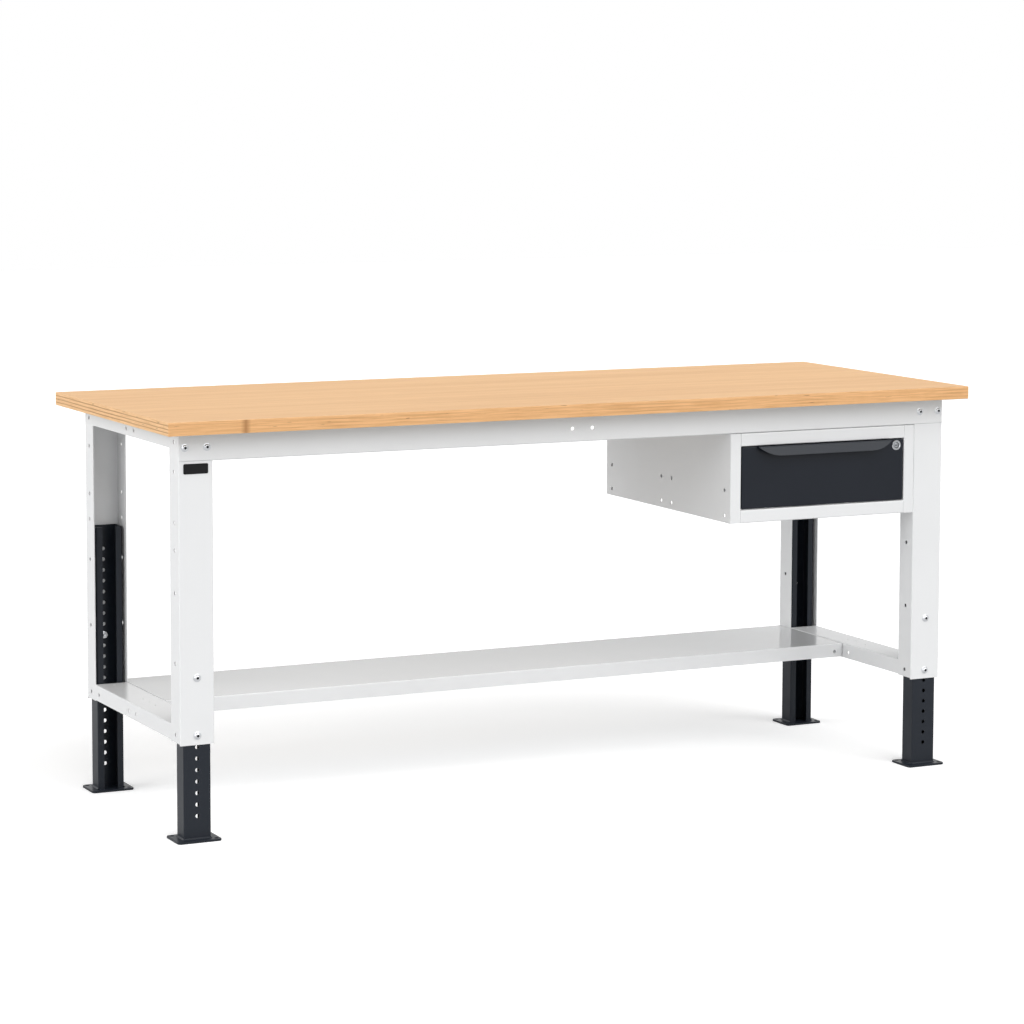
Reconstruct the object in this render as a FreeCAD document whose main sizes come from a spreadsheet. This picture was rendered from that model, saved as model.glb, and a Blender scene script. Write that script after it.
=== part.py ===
import FreeCAD, Part
import Sketcher
import math
import os
import re

# Height-adjustable workbench: a beech plywood top on a welded and bolted sheet-steel frame, four legs that
# telescope inside the posts in steps of the hole pitch, a half-depth shelf and one lockable drawer on
# telescopic runners. X runs along the bench, Y from front to back, Z up. The origin is on the floor
# under the middle of the top, and the legs are set at the height that is their middle position.

doc = FreeCAD.newDocument("workbench")
sheet = doc.addObject("Spreadsheet::Sheet", "sizes")

# Driving dimensions in millimetres, degrees and counts
SIZES = [
    # Worktop
    ("top_length", 2000),
    ("top_depth", 750),
    ("top_thick", 30),
    ("top_height", 910),
    ("top_arris", 1.5),
    # Frame seen from above: outside of the posts, and how far the top stands over them in front
    ("frame_length", 1920),
    ("frame_depth", 610),
    ("front_overhang", 50),
    # Posts: folded channels whose open sides face each other across the bench
    ("post_width", 78),
    ("post_depth", 55),
    ("post_wall", 2),
    ("post_length", 670),
    ("fold_radius", 1),
    ("flange_hole", 9),
    ("hole_row_top", 20),
    ("hole_row_rack", 84),
    ("hole_row_unit_high", 193.5),
    ("hole_row_unit_low", 252),
    ("hole_row_spare_high", 344.5),
    ("hole_row_spare_low", 496),
    ("hole_row_bottom", 650),
    # Rails along the front and the back
    ("rail_length", 1915),
    ("rail_height", 60),
    ("rail_wall", 2),
    ("rail_shelf", 30),
    ("rail_lip", 12),
    ("rail_end_gap", 1),
    ("rail_bolt_spacing", 50),
    ("rail_pair_spacing", 50),
    # Cross-members between the front and back posts
    ("cross_height", 35),
    ("cross_wall", 2),
    ("cross_pair_spacing", 50),
    ("lower_cross_rise", 5),
    ("small_hole", 6),
    ("small_hole_pitch", 40),
    # Legs: lipped channels with a row of pin holes, welded to a foot plate
    ("leg_width", 62),
    ("leg_depth", 44),
    ("leg_wall", 2),
    ("leg_lip", 15),
    ("leg_length", 605),
    ("leg_play", 0.5),
    ("leg_hole", 9),
    ("leg_hole_pitch", 25),
    ("leg_hole_count", 21),
    ("leg_hole_floor", 55),
    ("leg_bolt_rise", 20),
    ("leg_bolt_steps", 5),
    ("foot_length", 100),
    ("foot_depth", 80),
    ("foot_thick", 5),
    ("foot_corner", 8),
    ("foot_hole", 9),
    ("foot_hole_edge", 10),
    # Button-head bolts, nuts and wood screws
    ("bolt_thread", 8),
    ("bolt_head", 17.5),
    ("bolt_head_height", 4.4),
    ("bolt_crown", 10),
    ("bolt_length", 14),
    ("bolt_hole", 9),
    ("nut_width", 13),
    ("nut_height", 6.5),
    ("nut_gap", 0.3),
    ("screw_thread", 5),
    ("screw_head", 10),
    ("screw_head_height", 2.5),
    ("screw_length", 22),
    ("screw_fit", 0.1),
    ("screw_edge", 60),
    # Half-depth shelf
    ("shelf_depth", 297),
    ("shelf_lip", 33),
    ("shelf_wall", 1.5),
    ("shelf_side_gap", 1.5),
    ("shelf_lip_hole", 22),
    ("shelf_bolt_inset", 25),
    ("shelf_bolt_span", 200),
    # Blank plate on the front left post
    ("plate_width", 56),
    ("plate_height", 22),
    ("plate_thick", 1),
    ("plate_corner", 2),
    ("plate_drop", 5),
    # Drawer unit
    ("unit_width", 498),
    ("unit_height", 208),
    ("unit_drop", 1),
    ("unit_wall", 1.5),
    ("unit_flange", 20),
    ("stile_width", 28),
    ("stile_return", 12),
    ("bar_height", 30),
    ("bar_return", 15),
    ("hanger_width", 40),
    ("hanger_foot", 24),
    ("hanger_wall", 2),
    ("hanger_inset", 95),
    # Telescopic runners
    ("runner_overlap", 50),
    ("runner_height", 45),
    ("runner_width", 12.7),
    ("runner_wall", 1.2),
    ("runner_play", 0.4),
    ("runner_rise", 109),
    ("runner_setback", 21),
    ("opening_play", 0.5),
    # Drawer
    ("drawer_gap", 2),
    ("drawer_travel", 500),
    ("front_wall", 1.5),
    ("front_return", 14),
    ("tray_wall", 1),
    ("tray_height", 105),
    ("tray_length", 568),
    ("tray_rise", 6),
    ("tray_rim", 8),
    ("pull_width", 358),
    ("pull_ledge", 11),
    ("pull_reach", 21),
    ("pull_drop", 21),
    ("pull_slope_width", 56),
    # Drawer lock
    ("lock_side", 22),
    ("lock_drop", 16),
    ("lock_bezel", 24),
    ("lock_bezel_height", 2),
    ("lock_barrel", 18),
    ("lock_nut_width", 22),
    ("lock_nut_height", 3),
    ("lock_core", 12),
    ("lock_core_play", 0.05),
    ("lock_key_width", 2),
    ("lock_key_height", 7),
    ("lock_key_depth", 6),
    ("cam_length", 26),
    ("cam_width", 12),
    ("cam_thick", 2),
    ("cam_gap", 0.3),
    ("cam_play", 0.8),
]

for row, (alias, value) in enumerate(SIZES, 1):
    sheet.set(f"A{row}", alias.replace("_", " "))
    sheet.set(f"B{row}", str(value))
    sheet.setAlias(f"B{row}", alias)
doc.recompute()

ALIASES = {alias for alias, _ in SIZES}

# Sides of the small round forms, which repeat too often to be round. Holes, nuts and heads are measured
# across their flats and threads across their corners, so that a bolt passes its hole at any turn.
HOLE_SIDES = 6
THREAD_SIDES = 6
HEAD_SIDES = 8
NUT_SIDES = 6
LOCK_SIDES = 12

# How near two places of the model are when they count as the same
NEAR = 1e-4


class Sizes:
    """The sheet's values as numbers, for the features whose shape is set in code."""


for alias in ALIASES:
    setattr(Sizes, alias, float(sheet.get(alias)))


# Places that several pieces share, as expressions of the sheet
POST_X = "(frame_length - post_width) / 2"
POST_FRONT_Y = "(front_overhang - top_depth / 2)"
POST_BACK_Y = "(front_overhang - top_depth / 2 + frame_depth)"
MIDDLE_Y = "(front_overhang - top_depth / 2 + frame_depth / 2)"
FRAME_TOP = "(top_height - top_thick)"
POST_BOTTOM = "(top_height - top_thick - post_length)"
CROSS_LENGTH = "(frame_depth - 2 * post_depth)"
UNIT_TOP = "(top_height - top_thick - rail_height - unit_drop)"
UNIT_RIGHT = "(frame_length / 2 - post_width)"
UNIT_X = "(frame_length / 2 - post_width - unit_width / 2)"
RUNNER_LENGTH = "(drawer_travel + runner_overlap)"
SPACER_DEPTH = "(stile_width - unit_wall + opening_play - runner_wall - runner_play)"
TRAY_HALF = (
    "(unit_width / 2 - stile_width - opening_play + runner_wall + runner_play - runner_width)"
)
HOLE_ROWS = [
    "hole_row_top",
    "hole_row_rack",
    "hole_row_unit_high",
    "hole_row_unit_low",
    "hole_row_spare_high",
    "hole_row_spare_low",
    "hole_row_bottom",
]


def expression(text):
    """The text with each alias turned into a reference to the sheet."""
    return re.sub(r"[a-z][a-z_]+", lambda word: f"sizes.{word[0]}" if word[0] in ALIASES else word[0], text)


def bind(thing, **values):
    """Bind properties of a document object to expressions of the sheet."""
    for name, text in values.items():
        thing.setExpression(name, expression(text))


def place(thing, x="0", y="0", z="0", turn=0.0, axis=(0, 0, 1)):
    """Put a sub-part in the bench, turned about an axis through its own origin."""
    thing.Placement = FreeCAD.Placement(FreeCAD.Vector(), FreeCAD.Rotation(FreeCAD.Vector(*axis), turn))
    for name, text in (("x", x), ("y", y), ("z", z)):
        thing.setExpression(f"Placement.Base.{name}", expression(text))


def new_body(name):
    body = doc.addObject("PartDesign::Body", name)
    body.Label = name
    return body


def twin(source, name):
    """Another piece like a finished one, as a clone of its last feature."""
    doc.recompute()
    body = new_body(name)
    base = doc.addObject("PartDesign::FeatureBase", f"{name}_clone")
    base.BaseFeature = source.Tip
    base.Placement = source.Tip.Placement
    body.Group = [base]
    body.Tip = base
    return body


def new_sketch(body, plane, lift=None):
    """An empty sketch on one of the body's own origin planes, or lifted off it by an expression."""
    support = [item for item in body.Origin.OriginFeatures if item.Role == plane][0]
    sketch = body.newObject("Sketcher::SketchObject", f"{body.Name}_sketch")
    sketch.AttachmentSupport = [(support, "")]
    sketch.MapMode = "FlatFace"
    if lift:
        sketch.setExpression("AttachmentOffset.Base.z", expression(lift))
    return sketch


def fixings(sketch, geometry, point, x, y):
    """The constraints that tie one point to its coordinates, starting from where it was drawn."""
    drawn = sketch.getPoint(geometry, point)
    for kind, axis, text, start in (("DistanceX", -2, x, drawn.x), ("DistanceY", -1, y, drawn.y)):
        if text == "0":
            yield Sketcher.Constraint("PointOnObject", geometry, point, axis), None
        else:
            yield Sketcher.Constraint(kind, geometry, point, start), text


def constrain(sketch, pairs):
    """Add constraints together, and bind each one that has an expression to it."""
    numbers = sketch.addConstraint([constraint for constraint, _ in pairs])
    for number, (_, text) in zip(numbers, pairs):
        if text:
            sketch.setExpression(f"Constraints[{number}]", expression(text))


def polygon(sketch, points):
    """A closed outline whose corners are pairs of expressions."""
    count = len(points)
    spots = [
        FreeCAD.Vector(math.cos(math.tau * step / count), math.sin(math.tau * step / count), 0)
        for step in range(count)
    ]
    sides = [Part.LineSegment(spots[step], spots[(step + 1) % count]) for step in range(count)]
    lines = sketch.addGeometry(sides, False)
    pairs = [
        (Sketcher.Constraint("Coincident", lines[step], 2, lines[(step + 1) % count], 1), None)
        for step in range(count)
    ]
    for line, (x, y) in zip(lines, points):
        pairs.extend(fixings(sketch, line, 1, x, y))
    constrain(sketch, pairs)


def rectangle(sketch, left, bottom, right, top):
    polygon(sketch, [(left, bottom), (right, bottom), (right, top), (left, top)])


def circle(sketch, x, y, diameter):
    ring = sketch.addGeometry(Part.Circle(FreeCAD.Vector(1, 1, 0), FreeCAD.Vector(0, 0, 1), 1), False)
    pairs = [(Sketcher.Constraint("Diameter", ring, 1.0), diameter)]
    pairs.extend(fixings(sketch, ring, 3, x, y))
    constrain(sketch, pairs)


def faceted_hole(sketch, x, y, diameter, sides=HOLE_SIDES):
    """A hole with few sides for what repeats many times, measured across its flats."""
    reach = f"({diameter}) / 2 / cos({180 / sides})"
    turns = [360 * (step + 1 / 2) / sides for step in range(sides)]
    polygon(sketch, [(f"{x} + {reach} * cos({turn})", f"{y} + {reach} * sin({turn})") for turn in turns])


def pad(sketch, length, centred=False, backwards=False):
    """Add material along the sketch's normal."""
    body = sketch.getParentGeoFeatureGroup()
    feature = body.newObject("PartDesign::Pad", f"{body.Name}_pad")
    feature.Profile = sketch
    feature.Midplane = centred
    feature.Reversed = backwards
    bind(feature, Length=length)
    doc.recompute()
    return feature


def cut(sketch, depth=None, backwards=False):
    """Remove material, all the way both ways where no depth is given."""
    body = sketch.getParentGeoFeatureGroup()
    doc.recompute()
    before = body.Shape.Volume
    feature = body.newObject("PartDesign::Pocket", f"{body.Name}_pocket")
    feature.Profile = sketch
    feature.Reversed = backwards
    if depth:
        bind(feature, Length=depth)
    else:
        feature.Type = "ThroughAll"
        feature.Midplane = True
    doc.recompute()
    if feature.Shape.isNull() or not feature.Shape.Volume < before:
        raise ValueError(f"a pocket of {body.Label} removes nothing")
    return feature


def round_edges(body, radius, chosen):
    """Fillet the edges of the body's tip that the test picks."""
    doc.recompute()
    tip = body.Tip
    names = [f"Edge{number}" for number, edge in enumerate(tip.Shape.Edges, 1) if chosen(edge)]
    feature = body.newObject("PartDesign::Fillet", f"{body.Name}_fillet")
    feature.Base = (tip, names)
    bind(feature, Radius=radius)
    doc.recompute()
    return feature


def ease_edges(body, size, chosen):
    """Chamfer the edges of the body's tip that the test picks."""
    doc.recompute()
    tip = body.Tip
    names = [f"Edge{number}" for number, edge in enumerate(tip.Shape.Edges, 1) if chosen(edge)]
    feature = body.newObject("PartDesign::Chamfer", f"{body.Name}_chamfer")
    feature.Base = (tip, names)
    bind(feature, Size=size)
    doc.recompute()
    return feature


def hollow(body, wall, way, sign):
    """Shell the body inwards, leaving out the face that lies furthest along a way: 0, 1 or 2 for X, Y, Z."""
    doc.recompute()
    tip = body.Tip
    open_face = max(enumerate(tip.Shape.Faces, 1), key=lambda item: sign * item[1].CenterOfMass[way])[0]
    feature = body.newObject("PartDesign::Thickness", f"{body.Name}_shell")
    feature.Base = (tip, [f"Face{open_face}"])
    feature.Reversed = True
    bind(feature, Value=wall)
    doc.recompute()
    return feature


def straight(edge, axis):
    """Whether an edge is a straight line along the axis, which is 0, 1 or 2 for X, Y or Z."""
    if not isinstance(edge.Curve, Part.Line):
        return False
    return abs(abs(edge.Curve.Direction[axis]) - 1) < NEAR


def runs_through(edge, axis, spots):
    """Whether a straight edge along the axis passes through one of the spots in the plane across it."""
    if not straight(edge, axis):
        return False
    middle = edge.CenterOfMass
    across = [middle[way] for way in range(3) if way != axis]
    return any(math.dist(across, spot) < NEAR for spot in spots)


def fold(body, axis, wall, spots):
    """Turn the folds of a bent sheet over a flat at half the angle, where the wall keeps its thickness.

    Spots holds (inner corner, outer corner) pairs across the axis.
    """
    inner = [pair[0] for pair in spots]
    outer = [pair[1] for pair in spots]
    ease_edges(body, "fold_radius", lambda edge: runs_through(edge, axis, inner))
    ease_edges(body, f"fold_radius + {wall} * (2 - sqrt(2))", lambda edge: runs_through(edge, axis, outer))


# Worktop: one board with eased edges and pilot holes for the screws that come up from the frame
def screw_places():
    """X and Y of each screw that comes up into the worktop."""
    places = []
    for side in ("-", ""):
        for end in ("-", ""):
            y = f"{MIDDLE_Y} + {end}1 * ({CROSS_LENGTH} / 2 - screw_edge)"
            places.append((f"{side}1 * {POST_X}", y))
    for share in RAIL_SCREW_SHARES:
        x = f"{share} * rail_length"
        places.append((x, f"{POST_FRONT_Y} + rail_shelf / 2"))
        places.append((x, f"{POST_BACK_Y} - rail_shelf / 2"))
    for y in HANGER_Y:
        places.append((HANGER_SCREW_X, y))
    return places


RAIL_SCREW_SHARES = (-0.3, 0, 0.3)
UNIT_LEFT = "(frame_length / 2 - post_width - unit_width)"
HANGER_Y = (
    f"({POST_FRONT_Y} + hanger_inset)",
    f"({POST_BACK_Y} - hanger_inset)",
)
HANGER_X = f"({UNIT_LEFT} + hanger_foot / 2)"
HANGER_SCREW_X = f"({HANGER_X} + hanger_foot - hanger_wall)"


def make_worktop():
    body = new_body("worktop")
    sketch = new_sketch(body, "XY_Plane")
    rectangle(sketch, "-top_length / 2", "-top_depth / 2", "top_length / 2", "top_depth / 2")
    pad(sketch, "top_thick")
    ease_edges(body, "top_arris", lambda edge: True)
    sketch = new_sketch(body, "XY_Plane")
    for x, y in screw_places():
        faceted_hole(sketch, x, y, "screw_thread + 2 * screw_fit")
    cut(sketch, "screw_length", backwards=True)
    place(body, z=FRAME_TOP)


# Posts: a web with two flanges, drilled for the bolts, the leg pins and whatever is hung on the flanges
def make_post(name):
    body = new_body(name)
    sketch = new_sketch(body, "XY_Plane")
    polygon(
        sketch,
        [
            ("-post_width / 2", "0"),
            ("post_width / 2", "0"),
            ("post_width / 2", "post_depth"),
            ("post_width / 2 - post_wall", "post_depth"),
            ("post_width / 2 - post_wall", "post_wall"),
            ("post_wall - post_width / 2", "post_wall"),
            ("post_wall - post_width / 2", "post_depth"),
            ("-post_width / 2", "post_depth"),
        ],
    )
    pad(sketch, "post_length")
    half = Sizes.post_width / 2
    wall = Sizes.post_wall
    fold(body, 2, "post_wall", [((s * (half - wall), wall), (s * half, 0)) for s in (-1, 1)])
    sketch = new_sketch(body, "YZ_Plane")
    for drop in HOLE_ROWS:
        faceted_hole(sketch, "post_depth / 2", f"post_length - {drop}", "flange_hole")
    cut(sketch)
    sketch = new_sketch(body, "XZ_Plane")
    for side in ("-", ""):
        faceted_hole(sketch, f"{side}rail_bolt_spacing / 2", "post_length - rail_height / 2", "bolt_hole")
    faceted_hole(sketch, "0", "leg_bolt_rise", "bolt_hole")
    faceted_hole(sketch, "0", "leg_bolt_rise + leg_bolt_steps * leg_hole_pitch", "bolt_hole")
    cut(sketch)
    return body


# Rails: a face that laps over the posts, a flange under the worktop and a stiffening lip, both cut short
# of the posts
def make_rail(name):
    body = new_body(name)
    sketch = new_sketch(body, "YZ_Plane")
    polygon(
        sketch,
        [
            ("-rail_wall", "-rail_height"),
            ("rail_lip", "-rail_height"),
            ("rail_lip", "rail_wall - rail_height"),
            ("0", "rail_wall - rail_height"),
            ("0", "-rail_wall"),
            ("rail_shelf", "-rail_wall"),
            ("rail_shelf", "0"),
            ("-rail_wall", "0"),
        ],
    )
    pad(sketch, "rail_length", centred=True)
    wall = Sizes.rail_wall
    tall = Sizes.rail_height
    fold(body, 0, "rail_wall", [((0, -wall), (-wall, 0)), ((0, wall - tall), (-wall, -tall))])
    sketch = new_sketch(body, "XY_Plane")
    inside = "(frame_length / 2 - post_width - rail_end_gap)"
    for side in ("-", ""):
        near = f"{side}1 * {inside}"
        far = f"{side}1 * frame_length / 2"
        rectangle(sketch, near, "0", far, "rail_shelf + rail_wall")
    cut(sketch)
    sketch = new_sketch(body, "XZ_Plane")
    for side in ("-", ""):
        for end in ("-", "+"):
            x = f"{side}1 * {POST_X} {end} rail_bolt_spacing / 2"
            faceted_hole(sketch, x, "-rail_height / 2", "bolt_hole")
        circle(sketch, f"{side}rail_pair_spacing / 2", "-rail_height / 2", "bolt_hole")
    cut(sketch)
    sketch = new_sketch(body, "XY_Plane")
    for share in RAIL_SCREW_SHARES:
        faceted_hole(sketch, f"{share} * rail_length", "rail_shelf / 2", "small_hole")
    cut(sketch, "rail_height / 2")
    return body


# Cross-members: channels open at the bottom, welded between the flanges of a front and a back post
def make_cross(name, upper):
    body = new_body(name)
    sketch = new_sketch(body, "XZ_Plane")
    polygon(
        sketch,
        [
            ("-post_width / 2", "-cross_height"),
            ("cross_wall - post_width / 2", "-cross_height"),
            ("cross_wall - post_width / 2", "-cross_wall"),
            ("post_width / 2 - cross_wall", "-cross_wall"),
            ("post_width / 2 - cross_wall", "-cross_height"),
            ("post_width / 2", "-cross_height"),
            ("post_width / 2", "0"),
            ("-post_width / 2", "0"),
        ],
    )
    pad(sketch, CROSS_LENGTH, centred=True)
    half = Sizes.post_width / 2
    wall = Sizes.cross_wall
    fold(body, 1, "cross_wall", [((s * (half - wall), -wall), (s * half, 0)) for s in (-1, 1)])
    sketch = new_sketch(body, "YZ_Plane")
    for side in ("-", ""):
        faceted_hole(sketch, f"{side}cross_pair_spacing / 2", "-hole_row_top", "flange_hole")
    if not upper:
        faceted_hole(sketch, "shelf_bolt_inset + shelf_bolt_span", "-hole_row_top", "flange_hole")
    cut(sketch)
    sketch = new_sketch(body, "XY_Plane")
    if upper:
        for side in ("-", ""):
            faceted_hole(sketch, "0", f"{side}1 * ({CROSS_LENGTH} / 2 - screw_edge)", "small_hole")
    else:
        for side in ("-", ""):
            faceted_hole(sketch, "0", f"{side}1 * ({CROSS_LENGTH} / 2 - hole_row_top)", "small_hole")
            faceted_hole(sketch, "0", f"{side}small_hole_pitch", "small_hole")
        faceted_hole(sketch, "0", "0", "small_hole")
    cut(sketch, "cross_height / 2")
    return body


# Legs: lipped channels that slide in the posts, with a row of pin holes at an even pitch
def make_leg(name):
    body = new_body(name)
    sketch = new_sketch(body, "XY_Plane")
    half = "leg_width / 2"
    polygon(
        sketch,
        [
            (f"-{half}", "0"),
            (half, "0"),
            (half, "leg_depth"),
            (f"{half} - leg_lip", "leg_depth"),
            (f"{half} - leg_lip", "leg_depth - leg_wall"),
            (f"{half} - leg_wall", "leg_depth - leg_wall"),
            (f"{half} - leg_wall", "leg_wall"),
            (f"leg_wall - {half}", "leg_wall"),
            (f"leg_wall - {half}", "leg_depth - leg_wall"),
            (f"leg_lip - {half}", "leg_depth - leg_wall"),
            (f"leg_lip - {half}", "leg_depth"),
            (f"-{half}", "leg_depth"),
        ],
    )
    pad(sketch, "leg_length")
    side = Sizes.leg_width / 2
    wall = Sizes.leg_wall
    deep = Sizes.leg_depth
    spots = [((s * (side - wall), wall), (s * side, 0)) for s in (-1, 1)]
    spots += [((s * (side - wall), deep - wall), (s * side, deep)) for s in (-1, 1)]
    fold(body, 2, "leg_wall", spots)
    sketch = new_sketch(body, "XZ_Plane")
    faceted_hole(sketch, "0", "leg_hole_floor - foot_thick", "leg_hole")
    first = cut(sketch, "leg_depth / 2")
    row = body.newObject("PartDesign::LinearPattern", f"{name}_hole_row")
    row.Originals = [first]
    row.Direction = (sketch, ["V_Axis"])
    bind(row, Length="leg_hole_pitch * (leg_hole_count - 1)", Occurrences="leg_hole_count")
    body.Tip = row
    return body


def make_foot(name):
    body = new_body(name)
    sketch = new_sketch(body, "XY_Plane")
    rectangle(sketch, "-foot_length / 2", "-foot_depth / 2", "foot_length / 2", "foot_depth / 2")
    pad(sketch, "foot_thick")
    ease_edges(body, "foot_corner", lambda edge: straight(edge, 2))
    sketch = new_sketch(body, "XY_Plane")
    for side, end in (("-", ""), ("", "-")):
        x_hole = f"{side}1 * (foot_length / 2 - foot_hole_edge)"
        circle(sketch, x_hole, f"{end}1 * (foot_depth / 2 - foot_hole_edge)", "foot_hole")
    cut(sketch)
    return body


# Shelf: one sheet folded down on all four sides, bolted to the lower cross-members
SHELF_LENGTH = "(frame_length - 2 * post_width - 2 * shelf_side_gap)"
LOWER_CROSS_TOP = f"({POST_BOTTOM} + lower_cross_rise + cross_height)"


def make_shelf():
    body = new_body("shelf")
    sketch = new_sketch(body, "XY_Plane")
    rectangle(sketch, f"-1 * {SHELF_LENGTH} / 2", "0", f"{SHELF_LENGTH} / 2", "shelf_depth")
    pad(sketch, "shelf_lip", backwards=True)
    round_edges(
        body,
        "fold_radius + shelf_wall",
        lambda edge: abs(edge.CenterOfMass.z) < NEAR and straight(edge, 0),
    )
    hollow(body, "shelf_wall", 2, -1)
    sketch = new_sketch(body, "XZ_Plane")
    for side in ("-", ""):
        x = f"{side}1 * ({SHELF_LENGTH} / 2 - shelf_lip_hole)"
        faceted_hole(sketch, x, "-hole_row_top", "small_hole")
    cut(sketch, "shelf_depth / 2")
    sketch = new_sketch(body, "YZ_Plane")
    for y in ("shelf_bolt_inset", "shelf_bolt_inset + shelf_bolt_span"):
        faceted_hole(sketch, y, "-hole_row_top", "bolt_hole")
    cut(sketch)
    place(body, "0", MIDDLE_Y, LOWER_CROSS_TOP)


def make_blank_plate():
    body = new_body("blank_plate")
    sketch = new_sketch(body, "XZ_Plane")
    rectangle(sketch, "-plate_width / 2", "-plate_height", "plate_width / 2", "0")
    pad(sketch, "plate_thick")
    ease_edges(body, "plate_corner", lambda edge: straight(edge, 1))
    place(body, f"-1 * {POST_X}", POST_FRONT_Y, f"{FRAME_TOP} - rail_height - plate_drop")


# Drawer unit: two folded sides whose front edges form the stiles, bars between them, a back and a top
def make_unit_side(name, hand):
    """One side, drawn with its outer face at X = 0 and the inside of the unit towards hand."""
    body = new_body(name)
    inward = "" if hand > 0 else "-"
    sketch = new_sketch(body, "XZ_Plane")
    polygon(
        sketch,
        [
            ("0", "-unit_height"),
            (f"{inward}unit_flange", "-unit_height"),
            (f"{inward}unit_flange", "unit_wall - unit_height"),
            (f"{inward}unit_wall", "unit_wall - unit_height"),
            (f"{inward}unit_wall", "-unit_wall"),
            (f"{inward}unit_flange", "-unit_wall"),
            (f"{inward}unit_flange", "0"),
            ("0", "0"),
        ],
    )
    pad(sketch, "frame_depth", backwards=True)
    sketch = new_sketch(body, "XY_Plane")
    polygon(
        sketch,
        [
            ("0", "0"),
            (f"{inward}stile_width", "0"),
            (f"{inward}stile_width", "stile_return"),
            (f"{inward}1 * (stile_width - unit_wall)", "stile_return"),
            (f"{inward}1 * (stile_width - unit_wall)", "unit_wall"),
            ("0", "unit_wall"),
        ],
    )
    pad(sketch, "unit_height", backwards=True)
    folds = [(0.0, 0.0), (0.0, -Sizes.unit_height)]
    front = [(0.0, 0.0), (hand * Sizes.stile_width, 0.0)]
    ease_edges(
        body,
        "fold_radius",
        lambda edge: runs_through(edge, 1, folds) or runs_through(edge, 2, front),
    )
    sketch = new_sketch(body, "YZ_Plane")
    spots = ["post_depth / 2", "frame_depth - post_depth / 2"]
    spots += ["(frame_depth - cross_pair_spacing) / 2", "(frame_depth + cross_pair_spacing) / 2"]
    for y in spots:
        for row in ("hole_row_unit_high", "hole_row_unit_low"):
            faceted_hole(sketch, y, f"rail_height + unit_drop - {row}", "flange_hole")
    cut(sketch)
    if hand > 0:
        sketch = new_sketch(body, "XY_Plane")
        for y in ("hanger_inset", "frame_depth - hanger_inset"):
            faceted_hole(sketch, "hanger_foot / 2", y, "bolt_hole")
        cut(sketch, "unit_height / 2")
    place(body, UNIT_LEFT if hand > 0 else UNIT_RIGHT, POST_FRONT_Y, UNIT_TOP)


def make_unit_bar(name, z, flip):
    """A bar between the stiles, with one flange at the opening and one at the edge of the unit."""
    body = new_body(name)
    up = "" if flip > 0 else "-"
    sketch = new_sketch(body, "YZ_Plane")
    polygon(
        sketch,
        [
            ("0", "0"),
            ("unit_flange", "0"),
            ("unit_flange", f"{up}unit_wall"),
            ("unit_wall", f"{up}unit_wall"),
            ("unit_wall", f"{up}1 * (bar_height - unit_wall)"),
            ("bar_return", f"{up}1 * (bar_height - unit_wall)"),
            ("bar_return", f"{up}bar_height"),
            ("0", f"{up}bar_height"),
        ],
    )
    pad(sketch, "unit_width - 2 * stile_width", centred=True)
    place(body, UNIT_X, POST_FRONT_Y, z)


def make_unit_back():
    body = new_body("unit_back")
    sketch = new_sketch(body, "XY_Plane")
    half = "(unit_width / 2 - unit_wall)"
    polygon(
        sketch,
        [
            (f"-1 * {half}", "0"),
            (f"-1 * {half}", "-bar_return"),
            (f"unit_wall - {half}", "-bar_return"),
            (f"unit_wall - {half}", "-unit_wall"),
            (f"{half} - unit_wall", "-unit_wall"),
            (f"{half} - unit_wall", "-bar_return"),
            (half, "-bar_return"),
            (half, "0"),
        ],
    )
    pad(sketch, "unit_height - 3 * unit_wall")
    place(body, UNIT_X, POST_BACK_Y, f"{UNIT_TOP} - unit_height + unit_wall")


def make_unit_top():
    body = new_body("unit_top")
    sketch = new_sketch(body, "XY_Plane")
    half = "(unit_width / 2 - unit_wall)"
    rectangle(sketch, f"-1 * {half}", "stile_return", half, "frame_depth")
    pad(sketch, "unit_wall", backwards=True)
    sketch = new_sketch(body, "XY_Plane")
    for y in ("hanger_inset", "frame_depth - hanger_inset"):
        faceted_hole(sketch, f"{HANGER_X} - {UNIT_X}", y, "bolt_hole")
    cut(sketch)
    place(body, UNIT_X, POST_FRONT_Y, f"{UNIT_TOP} - unit_wall")


# Hangers: folded straps that carry the free side of the drawer unit from the worktop
def make_hanger(name):
    body = new_body(name)
    sketch = new_sketch(body, "XZ_Plane")
    polygon(
        sketch,
        [
            ("-hanger_foot / 2", "0"),
            ("hanger_foot / 2", "0"),
            ("hanger_foot / 2", "rail_height + unit_drop - hanger_wall"),
            ("3 * hanger_foot / 2", "rail_height + unit_drop - hanger_wall"),
            ("3 * hanger_foot / 2", "rail_height + unit_drop"),
            ("hanger_foot / 2 - hanger_wall", "rail_height + unit_drop"),
            ("hanger_foot / 2 - hanger_wall", "hanger_wall"),
            ("-hanger_foot / 2", "hanger_wall"),
        ],
    )
    pad(sketch, "hanger_width", centred=True)
    sketch = new_sketch(body, "XY_Plane")
    faceted_hole(sketch, "0", "0", "bolt_hole")
    cut(sketch, "rail_height / 2", backwards=True)
    sketch = new_sketch(body, "XY_Plane", "rail_height")
    faceted_hole(sketch, "hanger_foot - hanger_wall", "0", "small_hole")
    cut(sketch)
    return body


# Runners: a spacer on the unit's side and three nested channels on each hand
RUNNER_Z = f"({UNIT_TOP} - unit_height + runner_rise)"
RUNNER_Y = f"({POST_FRONT_Y} + runner_setback + {RUNNER_LENGTH} / 2)"


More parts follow.
